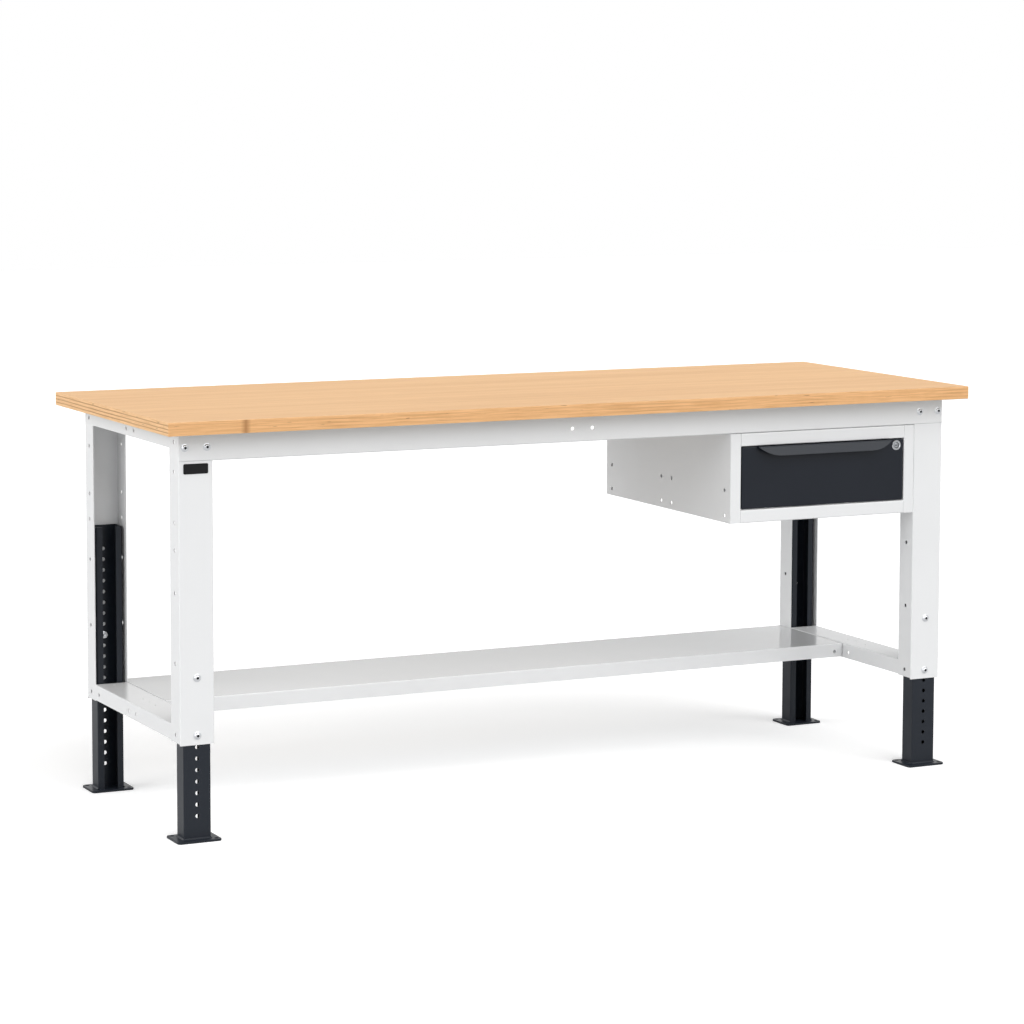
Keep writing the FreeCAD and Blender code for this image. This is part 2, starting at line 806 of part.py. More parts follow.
def make_runner_part(name, start, depth, height, wall, closed_outside):
    """A channel of a runner, drawn for the left side: its web is outside or towards the drawer."""
    body = new_body(name)
    sketch = new_sketch(body, "XZ_Plane")
    end = f"({start} + {depth})"
    web, web_inner, tip = (start, f"({start} + {wall})", end)
    if not closed_outside:
        web, web_inner, tip = (end, f"({end} - {wall})", start)
    polygon(
        sketch,
        [
            (web, f"-1 * {height} / 2"),
            (tip, f"-1 * {height} / 2"),
            (tip, f"{wall} - {height} / 2"),
            (web_inner, f"{wall} - {height} / 2"),
            (web_inner, f"{height} / 2 - {wall}"),
            (tip, f"{height} / 2 - {wall}"),
            (tip, f"{height} / 2"),
            (web, f"{height} / 2"),
        ],
    )
    pad(sketch, RUNNER_LENGTH, centred=True)
    return body


def make_runners():
    """Each runner has the same channels: the right one is the left one turned half round."""
    nest = "(runner_wall + runner_play)"
    outer = "(runner_width - runner_wall - runner_play)"
    inner = f"(runner_width - 2 * {nest})"
    channels = [
        ("runner_spacer", "0", SPACER_DEPTH, "runner_height", "unit_wall", False),
        ("runner_outer", SPACER_DEPTH, outer, "runner_height", "runner_wall", True),
        (
            "runner_middle",
            f"({SPACER_DEPTH} + {nest})",
            inner,
            f"(runner_height - 2 * {nest})",
            "runner_wall",
            True,
        ),
        (
            "runner_inner",
            f"({SPACER_DEPTH} + 2 * {nest})",
            inner,
            f"(runner_height - 4 * {nest})",
            "runner_wall",
            False,
        ),
    ]
    for name, *section in channels:
        left = make_runner_part(f"{name}_left", *section)
        place(left, f"{UNIT_LEFT} + unit_wall", RUNNER_Y, RUNNER_Z)
        right = twin(left, f"{name}_right")
        place(right, f"{UNIT_RIGHT} - unit_wall", RUNNER_Y, RUNNER_Z, 180.0, (0, 1, 0))


# Drawer front: a shallow folded pan whose top edge comes forward and down as a hooded pull
FRONT_HALF = "(unit_width / 2 - stile_width - drawer_gap)"
FRONT_TALL = "(unit_height - 2 * bar_height - 2 * drawer_gap)"
FRONT_BOTTOM = f"({UNIT_TOP} - unit_height + bar_height + drawer_gap)"
LOCK_X = "(unit_width / 2 - stile_width - lock_side)"
LOCK_Z = f"({FRONT_TALL} + drawer_gap - lock_drop)"


def make_drawer_front():
    body = new_body("drawer_front")
    sketch = new_sketch(body, "XZ_Plane")
    rectangle(sketch, f"-1 * {FRONT_HALF}", "0", FRONT_HALF, FRONT_TALL)
    pad(sketch, "front_return", backwards=True)
    round_edges(
        body,
        "fold_radius + front_wall",
        lambda edge: abs(edge.CenterOfMass.y) < NEAR and not straight(edge, 1),
    )
    hollow(body, "front_wall", 1, 1)
    sketch = new_sketch(body, "YZ_Plane")
    top = FRONT_TALL
    polygon(
        sketch,
        [
            ("front_wall + fold_radius", f"{top} - front_wall"),
            ("-pull_ledge", f"{top} - front_wall"),
            ("front_wall - pull_reach", f"{top} - pull_drop"),
            ("-pull_reach", f"{top} - pull_drop"),
            ("-1 * (pull_ledge + front_wall)", top),
            ("front_wall + fold_radius", top),
        ],
    )
    pad(sketch, "pull_width", centred=True)
    doc.recompute()
    sketch = new_sketch(body, "XZ_Plane", "front_wall / 2")
    for hand in (-1, 1):
        round_pull_end(sketch, hand)
    cut(sketch, "pull_reach + front_wall", backwards=True)
    sketch = new_sketch(body, "XZ_Plane")
    faceted_hole(sketch, LOCK_X, LOCK_Z, "lock_barrel + 2 * lock_core_play", LOCK_SIDES)
    cut(sketch, "front_return / 2")
    place(body, UNIT_X, POST_FRONT_Y, FRONT_BOTTOM)


def round_pull_end(sketch, hand):
    """The outline of what is cut off one end of the pull: an arc that runs out level at its lower edge."""
    size = Sizes
    run = size.pull_slope_width
    drop = size.pull_drop - size.front_wall
    radius = (run**2 + drop**2) / (2 * drop)
    low = size.unit_height - 2 * size.bar_height - 2 * size.drawer_gap - size.pull_drop
    foot = hand * (size.pull_width / 2 - run)
    far = hand * (size.pull_width / 2 + size.front_wall)
    corners = [
        FreeCAD.Vector(foot, low, 0),
        FreeCAD.Vector(foot, low - size.front_wall, 0),
        FreeCAD.Vector(far, low - size.front_wall, 0),
        FreeCAD.Vector(far, low + drop, 0),
        FreeCAD.Vector(foot + hand * run, low + drop, 0),
    ]
    lines = [
        sketch.addGeometry(Part.LineSegment(start, end), False)
        for start, end in zip(corners, corners[1:])
    ]
    pairs = [
        (Sketcher.Constraint("Coincident", first, 2, second, 1), None)
        for first, second in zip(lines, lines[1:])
    ]
    upper = math.atan2(drop - radius, hand * run)
    lower = -math.pi / 2
    ring = Part.Circle(FreeCAD.Vector(foot, low + radius, 0), FreeCAD.Vector(0, 0, 1), radius)
    arc = sketch.addGeometry(Part.ArcOfCircle(ring, min(lower, upper), max(lower, upper)), False)
    lower_end = 1 if lower < upper else 2
    pairs.append((Sketcher.Constraint("Coincident", arc, lower_end, lines[0], 1), None))
    pairs.append((Sketcher.Constraint("Coincident", arc, 3 - lower_end, lines[-1], 2), None))
    bottom = f"({FRONT_TALL} - pull_drop)"
    fall = "(pull_drop - front_wall)"
    foot_x = f"{hand} * (pull_width / 2 - pull_slope_width)"
    far_x = f"{hand} * (pull_width / 2 + front_wall)"
    radius_text = f"(pull_slope_width * pull_slope_width + {fall} * {fall}) / (2 * {fall})"
    pairs.extend(fixings(sketch, lines[0], 1, foot_x, bottom))
    pairs.extend(fixings(sketch, lines[1], 1, foot_x, f"{bottom} - front_wall"))
    pairs.extend(fixings(sketch, lines[2], 1, far_x, f"{bottom} - front_wall"))
    pairs.extend(fixings(sketch, lines[3], 1, far_x, f"{FRONT_TALL} - front_wall"))
    pairs.extend(fixings(sketch, arc, 3, foot_x, f"{bottom} + {radius_text}"))
    height = f"{FRONT_TALL} - front_wall"
    pairs.append((Sketcher.Constraint("DistanceY", lines[3], 2, low + drop), height))
    constrain(sketch, pairs)


# Drawer tray: a welded box of thin sheet with rolled-in rims along its sides
def make_tray():
    body = new_body("drawer_tray")
    sketch = new_sketch(body, "XY_Plane")
    rectangle(sketch, f"-1 * {TRAY_HALF}", "0", TRAY_HALF, "tray_length")
    pad(sketch, "tray_height")
    hollow(body, "tray_wall", 2, 1)
    sketch = new_sketch(body, "XZ_Plane")
    for side in ("-", ""):
        outer = f"{side}1 * {TRAY_HALF}"
        inner = f"{side}1 * ({TRAY_HALF} - tray_rim)"
        rectangle(sketch, outer, "tray_height - tray_wall", inner, "tray_height")
    pad(sketch, "tray_length", backwards=True)
    place(body, UNIT_X, f"{POST_FRONT_Y} + front_wall", f"{FRONT_BOTTOM} + tray_rise")


def seat(name):
    """Where a finished sub-part stands, for whatever is fastened to it."""
    return doc.getObject(name).Placement


def shape_part(name, solids):
    """A sub-part of separate solids whose shapes are set in code."""
    part = doc.addObject("Part::Feature", name)
    part.Label = name
    part.Shape = Part.makeCompound(solids)


def ring_of_flats(width, sides, height=0.0):
    """A level outline with equal flats, whose width is measured across them."""
    reach = width / 2 / math.cos(math.pi / sides)
    turns = [math.tau * (step + 1 / 2) / sides for step in range(sides)]
    corners = [FreeCAD.Vector(reach * math.cos(turn), reach * math.sin(turn), height) for turn in turns]
    return Part.makePolygon(corners + corners[:1])


def prism(width, height, sides):
    return Part.Face(ring_of_flats(width, sides)).extrude(FreeCAD.Vector(0, 0, height))


def thread(diameter, height):
    """A shank, or what is taken out of a nut, whose corners lie on the thread's diameter."""
    return prism(diameter * math.cos(math.pi / THREAD_SIDES), height, THREAD_SIDES)


def tapered_prism(crown, brim):
    """A solid between two level rings of flats, closed by one flat for each of their sides."""
    upper = crown.Vertexes
    lower = brim.Vertexes
    flats = [Part.Face(crown), Part.Face(brim)]
    for step in range(len(upper)):
        after = (step + 1) % len(upper)
        corners = [item.Point for item in (upper[step], upper[after], lower[after], lower[step], upper[step])]
        flats.append(Part.Face(Part.makePolygon(corners)))
    return Part.Solid(Part.Shell(flats))


def bolt_shape():
    """A button-head bolt along +Z, with the underside of its head at Z = 0."""
    size = Sizes
    crown = ring_of_flats(size.bolt_crown, HEAD_SIDES, -size.bolt_head_height)
    head = tapered_prism(crown, ring_of_flats(size.bolt_head, HEAD_SIDES))
    return head.fuse(thread(size.bolt_thread, size.bolt_length))


def nut_shape():
    """A hexagon nut along +Z, bored to sit on the bolt."""
    size = Sizes
    bore = thread(size.bolt_thread, size.nut_height)
    return prism(size.nut_width, size.nut_height, NUT_SIDES).cut(bore)


def screw_shape():
    """A pan-head screw along +Z, with the underside of its head at Z = 0."""
    size = Sizes
    head = prism(size.screw_head, size.screw_head_height, HEAD_SIDES)
    head.translate(FreeCAD.Vector(0, 0, -size.screw_head_height))
    return head.fuse(thread(size.screw_thread, size.screw_length))


def pointed(shape, on, spot, direction):
    """A copy of an upright shape at a spot of a placed sub-part, pointing along one of its directions."""
    turn = FreeCAD.Rotation(FreeCAD.Vector(0, 0, 1), FreeCAD.Vector(*direction))
    copy = shape.copy()
    copy.Placement = on.multiply(FreeCAD.Placement(FreeCAD.Vector(*spot), turn)).multiply(shape.Placement)
    return copy


def bolted(on, spot, direction, grip):
    """A bolt whose head bears on a spot of a sub-part, and the nut at the far side of what it grips."""
    far = [place_at + grip * way for place_at, way in zip(spot, direction)]
    return (
        pointed(bolt_shape(), on, spot, direction),
        pointed(nut_shape(), on, far, direction),
    )


def fastener_parts(name, pairs):
    shape_part(f"{name}_bolts", [bolt for bolt, _ in pairs])
    shape_part(f"{name}_nuts", [nut for _, nut in pairs])


def make_post_fasteners():
    """Bolts that hold the rails to the posts, and the pairs that lock each leg in its post."""
    size = Sizes
    rail_pairs = []
    leg_pairs = []
    inward = (0, 1, 0)
    for corner, *_ in POSTS:
        on = seat(f"post_{corner}")
        for side in (-1, 1):
            spot = (
                side * size.rail_bolt_spacing / 2,
                -size.rail_wall,
                size.post_length - size.rail_height / 2,
            )
            rail_pairs.append(bolted(on, spot, inward, size.rail_wall + size.post_wall))
        grip = size.post_wall + size.leg_play + size.leg_wall + size.nut_gap
        for step in (0, size.leg_bolt_steps):
            spot = (0, 0, size.leg_bolt_rise + step * size.leg_hole_pitch)
            leg_pairs.append(bolted(on, spot, inward, grip))
    fastener_parts("rail", rail_pairs)
    fastener_parts("leg", leg_pairs)


def make_unit_fasteners():
    """Bolts from the right post into the drawer unit, and from the hangers into its left flange."""
    size = Sizes
    pairs = []
    on = seat("unit_side_right")
    for y in (size.post_depth / 2, size.frame_depth - size.post_depth / 2):
        for row in (size.hole_row_unit_high, size.hole_row_unit_low):
            spot = (size.post_wall, y, size.rail_height + size.unit_drop - row)
            pairs.append(bolted(on, spot, (-1, 0, 0), size.post_wall + size.unit_wall))
    for name in ("hanger_front", "hanger_back"):
        grip = size.hanger_wall + 2 * size.unit_wall
        pairs.append(bolted(seat(name), (0, 0, size.hanger_wall), (0, 0, -1), grip))
    fastener_parts("unit", pairs)


def make_shelf_fasteners():
    size = Sizes
    pairs = []
    half = size.frame_length / 2 - size.post_width - size.shelf_side_gap - size.shelf_wall
    for side in (-1, 1):
        for y in (size.shelf_bolt_inset, size.shelf_bolt_inset + size.shelf_bolt_span):
            spot = (side * half, y, -size.hole_row_top)
            grip = size.shelf_wall + size.shelf_side_gap + size.cross_wall
            pairs.append(bolted(seat("shelf"), spot, (side, 0, 0), grip))
    fastener_parts("shelf", pairs)


def make_worktop_screws():
    """Screws that come up into the worktop through the cross-members, the rails and the hangers."""
    size = Sizes
    up = (0, 0, 1)
    screw = screw_shape()
    screws = []
    reach = (size.frame_depth - 2 * size.post_depth) / 2 - size.screw_edge
    for side in ("left", "right"):
        for end in (-1, 1):
            spot = (0, end * reach, -size.cross_wall)
            screws.append(pointed(screw, seat(f"cross_upper_{side}"), spot, up))
    for name in ("rail_front", "rail_back"):
        for share in RAIL_SCREW_SHARES:
            spot = (share * size.rail_length, size.rail_shelf / 2, -size.rail_wall)
            screws.append(pointed(screw, seat(name), spot, up))
    for name in ("hanger_front", "hanger_back"):
        drop = size.rail_height + size.unit_drop - size.hanger_wall
        spot = (size.hanger_foot - size.hanger_wall, 0, drop)
        screws.append(pointed(screw, seat(name), spot, up))
    shape_part("worktop_screws", screws)


def make_lock():
    """Cam lock: a threaded barrel with its bezel and nut, and a core that turns a cam behind the front."""
    size = Sizes
    on = seat("drawer_front")
    spot = (
        size.unit_width / 2 - size.stile_width - size.lock_side,
        0,
        size.unit_height - 2 * size.bar_height - size.drawer_gap - size.lock_drop,
    )
    inward = (0, 1, 0)
    length = size.bar_return + size.cam_play
    bezel = prism(size.lock_bezel, size.lock_bezel_height, LOCK_SIDES)
    bezel.translate(FreeCAD.Vector(0, 0, -size.lock_bezel_height))
    barrel = prism(size.lock_barrel, length - size.cam_gap, LOCK_SIDES)
    core_hole = Part.makeCylinder(
        size.lock_core / 2 + size.lock_core_play,
        size.lock_bezel_height + length,
        FreeCAD.Vector(0, 0, -size.lock_bezel_height),
    )
    shell = bezel.fuse(barrel).cut(core_hole)
    shape_part("lock_barrel", [pointed(shell, on, spot, inward)])
    ring = prism(size.lock_nut_width, size.lock_nut_height, NUT_SIDES).cut(
        prism(size.lock_barrel, size.lock_nut_height, LOCK_SIDES)
    )
    ring.rotate(FreeCAD.Vector(), FreeCAD.Vector(0, 0, 1), 180 / NUT_SIDES)
    behind = (spot[0], size.front_wall, spot[2])
    shape_part("lock_nut", [pointed(ring, on, behind, inward)])
    core = Part.makeCylinder(size.lock_core / 2, size.lock_bezel_height + length)
    key = Part.makeBox(size.lock_key_height, size.lock_key_width, size.lock_key_depth)
    key.translate(FreeCAD.Vector(-size.lock_key_height / 2, -size.lock_key_width / 2, 0))
    core = core.cut(key)
    core.translate(FreeCAD.Vector(0, 0, -size.lock_bezel_height))
    shape_part("lock_core", [pointed(core, on, spot, inward)])
    arm = Part.makeBox(size.cam_length, size.cam_thick, size.cam_width)
    arm.translate(FreeCAD.Vector(-size.cam_length, 0, -size.cam_width / 2))
    hub = Part.makeCylinder(size.cam_width / 2, size.cam_thick, FreeCAD.Vector(), FreeCAD.Vector(0, 1, 0))
    cam = arm.fuse(hub).removeSplitter()
    cam.translate(FreeCAD.Vector(spot[0], length, spot[2]))
    cam.Placement = on.multiply(cam.Placement)
    shape_part("lock_cam", [cam])


make_worktop()
POSTS = [
    ("front_left", -1, POST_FRONT_Y, 0.0),
    ("front_right", 1, POST_FRONT_Y, 0.0),
    ("back_left", -1, POST_BACK_Y, 180.0),
    ("back_right", 1, POST_BACK_Y, 180.0),
]
makers = {"post": make_post, "leg": make_leg, "foot": make_foot}
first = {}
for corner, side, edge_y, turn in POSTS:
    post_x = f"{side} * {POST_X}"
    inward = 1 if turn == 0 else -1
    leg_y = f"{edge_y} + {inward} * (post_wall + leg_play)"
    places = {
        "post": (edge_y, POST_BOTTOM),
        "leg": (leg_y, "foot_thick"),
        "foot": (f"{leg_y} + {inward} * leg_depth / 2", "0"),
    }
    for kind, (y, z) in places.items():
        name = f"{kind}_{corner}"
        if kind in first:
            piece = twin(first[kind], name)
        else:
            piece = makers[kind](name)
            first[kind] = piece
        place(piece, post_x, y, z, turn)
rail = make_rail("rail_front")
place(rail, "0", POST_FRONT_Y, FRAME_TOP)
place(twin(rail, "rail_back"), "0", POST_BACK_Y, FRAME_TOP, 180.0)
for level, z in (("upper", FRAME_TOP), ("lower", LOWER_CROSS_TOP)):
    cross = make_cross(f"cross_{level}_left", level == "upper")
    place(cross, f"-1 * {POST_X}", MIDDLE_Y, z)
    place(twin(cross, f"cross_{level}_right"), POST_X, MIDDLE_Y, z)
make_shelf()
make_blank_plate()
make_unit_side("unit_side_left", 1)
make_unit_side("unit_side_right", -1)
make_unit_bar("unit_bar_top", UNIT_TOP, -1)
make_unit_bar("unit_bar_bottom", f"{UNIT_TOP} - unit_height", 1)
make_unit_back()
make_unit_top()
hanger = make_hanger("hanger_front")
place(hanger, HANGER_X, HANGER_Y[0], UNIT_TOP)
place(twin(hanger, "hanger_back"), HANGER_X, HANGER_Y[1], UNIT_TOP)
make_runners()
make_drawer_front()
make_tray()
doc.recompute()
make_post_fasteners()
make_unit_fasteners()
make_shelf_fasteners()
make_worktop_screws()
make_lock()
doc.recompute()

# Every object has to be whole before anything is written
parts = [item for item in doc.Objects if item.TypeId in ("PartDesign::Body", "Part::Feature")]
for item in doc.Objects:
    if {"Invalid", "Error"} & set(item.State):
        raise ValueError(f"{item.Label} did not compute: {item.State}")
for part in parts:
    if part.Shape.isNull() or not part.Shape.isValid():
        raise ValueError(f"{part.Label} has no valid shape")

os.makedirs("parts", exist_ok=True)
for part in parts:
    part.Shape.exportStep(os.path.join("parts", f"{part.Label}.step"))
    print(part.Label, len(part.Shape.Solids), round(part.Shape.Volume))
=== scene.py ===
import math

import bmesh
import bpy
from mathutils import Matrix, Vector


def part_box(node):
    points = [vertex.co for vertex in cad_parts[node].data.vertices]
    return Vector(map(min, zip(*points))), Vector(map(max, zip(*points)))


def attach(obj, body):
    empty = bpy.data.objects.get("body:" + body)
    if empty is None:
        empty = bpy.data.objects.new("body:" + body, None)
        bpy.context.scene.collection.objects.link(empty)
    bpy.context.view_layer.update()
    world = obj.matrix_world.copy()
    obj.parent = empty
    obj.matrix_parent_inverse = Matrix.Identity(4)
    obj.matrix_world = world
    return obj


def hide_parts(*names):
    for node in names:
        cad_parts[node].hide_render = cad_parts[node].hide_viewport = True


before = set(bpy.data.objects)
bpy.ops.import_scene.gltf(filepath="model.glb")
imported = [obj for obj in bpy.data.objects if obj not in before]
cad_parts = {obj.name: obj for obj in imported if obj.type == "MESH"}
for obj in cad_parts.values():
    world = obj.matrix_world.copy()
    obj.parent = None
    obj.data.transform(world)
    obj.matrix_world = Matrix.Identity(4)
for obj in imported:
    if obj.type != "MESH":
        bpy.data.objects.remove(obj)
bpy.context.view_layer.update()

# The photograph's view: a studio shot from eye height, beyond the left end, with a long lens. The small shift
# is the photograph's own framing, and the uprights stay nearly parallel with it.
EYE = (-3.343, -6.7944, 1.6223)
EYE_YAW = math.radians(26.089)
EYE_TILT = math.radians(5.573)
EYE_ROLL = math.radians(0.158)
SENSOR_WIDTH = 36
LENS = 114.87
LENS_SHIFT = -0.109
FAR_CLIP = 60
camera_data = bpy.data.cameras.new("photo_view")
camera_data.sensor_fit = "HORIZONTAL"
camera_data.sensor_width = SENSOR_WIDTH
camera_data.lens = LENS
camera_data.shift_y = LENS_SHIFT
camera_data.clip_end = FAR_CLIP
camera = bpy.data.objects.new("photo_view", camera_data)
bpy.context.scene.collection.objects.link(camera)
camera.matrix_world = (
    Matrix.Translation(EYE)
    @ Matrix.Rotation(-EYE_YAW, 4, "Z")
    @ Matrix.Rotation(math.pi / 2 - EYE_TILT, 4, "X")
    @ Matrix.Rotation(EYE_ROLL, 4, "Z")
)
bpy.context.scene.camera = camera
bpy.context.scene.view_settings.view_transform = "Standard"

# Posts: four channels of 2 mm sheet steel, laser cut, folded along both long edges and powder coated pale
# grey. Their flanges and webs carry the holes for everything that is bolted to them.
POST_WALL = 0.002
POST_LENGTH = 0.670
POST_WIDTH = 0.078
POST_DEPTH = 0.055
FOLD = 0.001
FOLD_STEPS = 5
SMOOTH_BELOW = math.radians(35)
HOLE_STEPS = 28
FLANGE_HOLE = 0.009
BOLT_HOLE = 0.009
FLANGE_HOLE_DROPS = (0.020, 0.084, 0.1935, 0.252, 0.3445, 0.496, 0.650)
RAIL_BOLT_SPACING = 0.050
RAIL_HEIGHT = 0.060
LEG_BOLT_RISES = (0.020, 0.145)
FLANGE_RELIEF = 0.003
PALE_GREY = "EBECED"
PEEL_PER_METRE = 480.0
PEEL_DEPTH = 0.0002
DRIFT_PER_METRE = 5.0
GLOSS_DRIFT = 0.03
# The band that most values of a noise texture fall in, and a colour Mix node's inputs and output.
NOISE_BAND = {"From Min": 0.3, "From Max": 0.7}
MIX_SHARE = 0
MIX_A = 6
MIX_B = 7
MIXED = 2


def linear(code):
    """A colour written as sRGB hex, as the linear values that a shader takes."""
    parts = [int(code[place:place + 2], 16) / 255 for place in (0, 2, 4)]
    return [part / 12.92 if part < 0.04045 else ((part + 0.055) / 1.055) ** 2.4 for part in parts] + [1.0]


def add_node(tree, kind, settings=(), links=()):
    """A shader node with its properties or input values set, and its inputs linked."""
    node = tree.nodes.new(kind)
    for name, value in dict(settings).items():
        if isinstance(name, str) and hasattr(node, name):
            setattr(node, name, value)
        else:
            node.inputs[name].default_value = value
    for name, source in dict(links).items():
        tree.links.new(source, node.inputs[name])
    return node


def start_material(name):
    """An empty material with its output, its shader and the piece's own coordinates in metres."""
    material = bpy.data.materials.new(name)
    material.use_nodes = True
    tree = material.node_tree
    tree.nodes.clear()
    shader = add_node(tree, "ShaderNodeBsdfPrincipled")
    add_node(tree, "ShaderNodeOutputMaterial", links={"Surface": shader.outputs["BSDF"]})
    place = add_node(tree, "ShaderNodeTexCoord").outputs["Object"]
    return material, tree, shader, place


def powder_coat(name, colour, roughness, unevenness, shine):
    """Polyester powder baked on steel: an even colour, a soft gloss and a fine orange peel of 2 mm pitch."""
    material, tree, shader, place = start_material(name)
    peel = add_node(tree, "ShaderNodeTexNoise", {"Scale": PEEL_PER_METRE, "Detail": 2.0}, {"Vector": place})
    drift = add_node(tree, "ShaderNodeTexNoise", {"Scale": DRIFT_PER_METRE, "Detail": 3.0}, {"Vector": place})
    tone = add_node(
        tree,
        "ShaderNodeMapRange",
        {**NOISE_BAND, "To Min": 1.0 - unevenness, "To Max": 1.0},
        {"Value": drift.outputs["Fac"]},
    )
    base = add_node(
        tree,
        "ShaderNodeMix",
        {"data_type": "RGBA", "blend_type": "MULTIPLY", MIX_SHARE: 1.0, MIX_A: linear(colour)},
        {MIX_B: tone.outputs["Result"]},
    )
    gloss = add_node(
        tree,
        "ShaderNodeMapRange",
        {**NOISE_BAND, "To Min": roughness - GLOSS_DRIFT, "To Max": roughness + GLOSS_DRIFT},
        {"Value": drift.outputs["Fac"]},
    )
    bump = add_node(
        tree, "ShaderNodeBump", {"Strength": 0.10, "Distance": PEEL_DEPTH}, {"Height": peel.outputs["Fac"]}
    )
    shader.inputs["Specular IOR Level"].default_value = shine
    tree.links.new(base.outputs[2], shader.inputs["Base Color"])
    tree.links.new(gloss.outputs["Result"], shader.inputs["Roughness"])
    tree.links.new(bump.outputs["Normal"], shader.inputs["Normal"])
    return material


def bent(points, radius):
    """A path of points with its corners turned into arcs."""
    path = [Vector(points[0])]
    for before, corner, after in zip(points, points[1:], points[2:]):
        corner = Vector(corner)
        back = (Vector(before) - corner).normalized()
        ahead = (Vector(after) - corner).normalized()
        half = back.angle(ahead) / 2
        reach = radius / math.tan(half)
        centre = corner + (back + ahead).normalized() * (radius / math.sin(half))
        start = corner + back * reach - centre
        sweep = (corner + ahead * reach - centre).angle_signed(start)
        for step in range(FOLD_STEPS + 1):
            path.append(centre + Matrix.Rotation(sweep * step / FOLD_STEPS, 2) @ start)
    path.append(Vector(points[-1]))
    return path


def sheet_section(points, wall, fold):
    """The outline of a folded sheet from the path of its outer face. The sheet lies to the path's left."""
    inner = []
    for number, point in enumerate(points):
        ways = []
        if number > 0:
            ways.append((Vector(point) - Vector(points[number - 1])).normalized())
        if number < len(points) - 1:
            ways.append((Vector(points[number + 1]) - Vector(point)).normalized())
        lefts = [Vector((-way.y, way.x)) for way in ways]
        mean = sum(lefts, Vector((0, 0))).normalized()
        inner.append(Vector(point) + mean * (wall / mean.dot(lefts[0])))
    return bent(points, fold + wall) + bent(inner, fold)[::-1]


def extruded(mesh, outline, start, end, axis):
    """Add a closed prism of a flat outline to a mesh, along X, Y or Z."""
    spread = {"X": lambda u, v, w: (w, u, v), "Y": lambda u, v, w: (u, w, v), "Z": lambda u, v, w: (u, v, w)}
    rings = [[mesh.verts.new(spread[axis](*spot, depth)) for spot in outline] for depth in (start, end)]
    mesh.faces.new(rings[0])
    mesh.faces.new(rings[1])
    count = len(outline)
    for step in range(count):
        after = (step + 1) % count
        mesh.faces.new((rings[0][step], rings[0][after], rings[1][after], rings[1][step]))


def disc(centre, diameter, steps=HOLE_STEPS):
    """The outline of a circle."""
    turns = [math.tau * step / steps for step in range(steps)]
    return [
        (centre[0] + math.cos(turn) * diameter / 2, centre[1] + math.sin(turn) * diameter / 2)
        for turn in turns
    ]


def oblong(low, high):
    """The outline of a rectangle between two of its corners."""
    return [(low[0], low[1]), (high[0], low[1]), (high[0], high[1]), (low[0], high[1])]


def cut_away(mesh, cuts):
    """Take a list of prisms, each an outline with its start, end and axis, out of a mesh."""
    tool = bmesh.new()
    for cut in cuts:
        extruded(tool, *cut)
    bmesh.ops.recalc_face_normals(tool, faces=tool.faces)
    bmesh.ops.recalc_face_normals(mesh, faces=mesh.faces)
    blank_mesh = bpy.data.meshes.new("blank")
    tool_mesh = bpy.data.meshes.new("tool")
    mesh.to_mesh(blank_mesh)
    tool.to_mesh(tool_mesh)
    tool.free()
    blank = bpy.data.objects.new("blank", blank_mesh)
    cutter = bpy.data.objects.new("tool", tool_mesh)
    for item in (blank, cutter):
        bpy.context.scene.collection.objects.link(item)
    modifier = blank.modifiers.new("holes", "BOOLEAN")
    modifier.operation = "DIFFERENCE"
    modifier.solver = "EXACT"
    modifier.object = cutter
    done = bpy.data.meshes.new_from_object(blank.evaluated_get(bpy.context.evaluated_depsgraph_get()))
    mesh.clear()
    mesh.from_mesh(done)
    for item in (blank, cutter):
        bpy.data.objects.remove(item)
    for spent in (blank_mesh, tool_mesh, done):
        bpy.data.meshes.remove(spent)


def finish_piece(mesh, name, body, materials, nodes):
    """Turn a mesh into a piece that rides on a body and stands for its nodes."""
    bmesh.ops.recalc_face_normals(mesh, faces=mesh.faces)
    data = bpy.data.meshes.new(name)
    mesh.to_mesh(data)
    mesh.free()
    for material in materials:
        data.materials.append(material)
    data.polygons.foreach_set("use_smooth", [True] * len(data.polygons))
    data.set_sharp_from_angle(angle=SMOOTH_BELOW)
    piece = bpy.data.objects.new(name, data)
    bpy.context.scene.collection.objects.link(piece)
    even = piece.modifiers.new("even_shading", "WEIGHTED_NORMAL")
    even.keep_sharp = True
    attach(piece, body)
    if nodes:
        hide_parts(*nodes)


def moved(mesh, matrix):
    """A copy of a mesh, moved."""
    copy = mesh.copy()
    bmesh.ops.transform(copy, matrix=matrix, verts=copy.verts)
    return copy


def half_turn(at_back):
    """The turn that faces a piece at the back the other way, and leaves one at the front as it is."""
    return Matrix.Rotation(math.pi if at_back else 0.0, 4, "Z")


def upright_at(node, at_back):
    """The place of a post or leg: its web is at the outer face of the node's box."""
    low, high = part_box(node)
    x = (low[0] + high[0]) / 2
    y = high[1] if at_back else low[1]
    return Matrix.Translation((x, y, low[2])) @ half_turn(at_back)


pale_coat = powder_coat("pale_grey_powder_coat", PALE_GREY, roughness=0.20, unevenness=0.02, shine=0.5)
post_path = [
    (-POST_WIDTH / 2, POST_DEPTH),
    (-POST_WIDTH / 2, 0),
    (POST_WIDTH / 2, 0),
    (POST_WIDTH / 2, POST_DEPTH),
]
post = bmesh.new()
extruded(post, sheet_section(post_path, POST_WALL, FOLD), 0, POST_LENGTH, "Z")
post_cuts = [
    (disc((POST_DEPTH / 2, POST_LENGTH - drop), FLANGE_HOLE), -POST_WIDTH, POST_WIDTH, "X")
    for drop in FLANGE_HOLE_DROPS
]
web_holes = [(side * RAIL_BOLT_SPACING / 2, POST_LENGTH - RAIL_HEIGHT / 2) for side in (-1, 1)]
web_holes += [(0, rise) for rise in LEG_BOLT_RISES]
post_cuts += [(disc(spot, BOLT_HOLE), -FOLD, 2 * POST_WALL, "Y") for spot in web_holes]
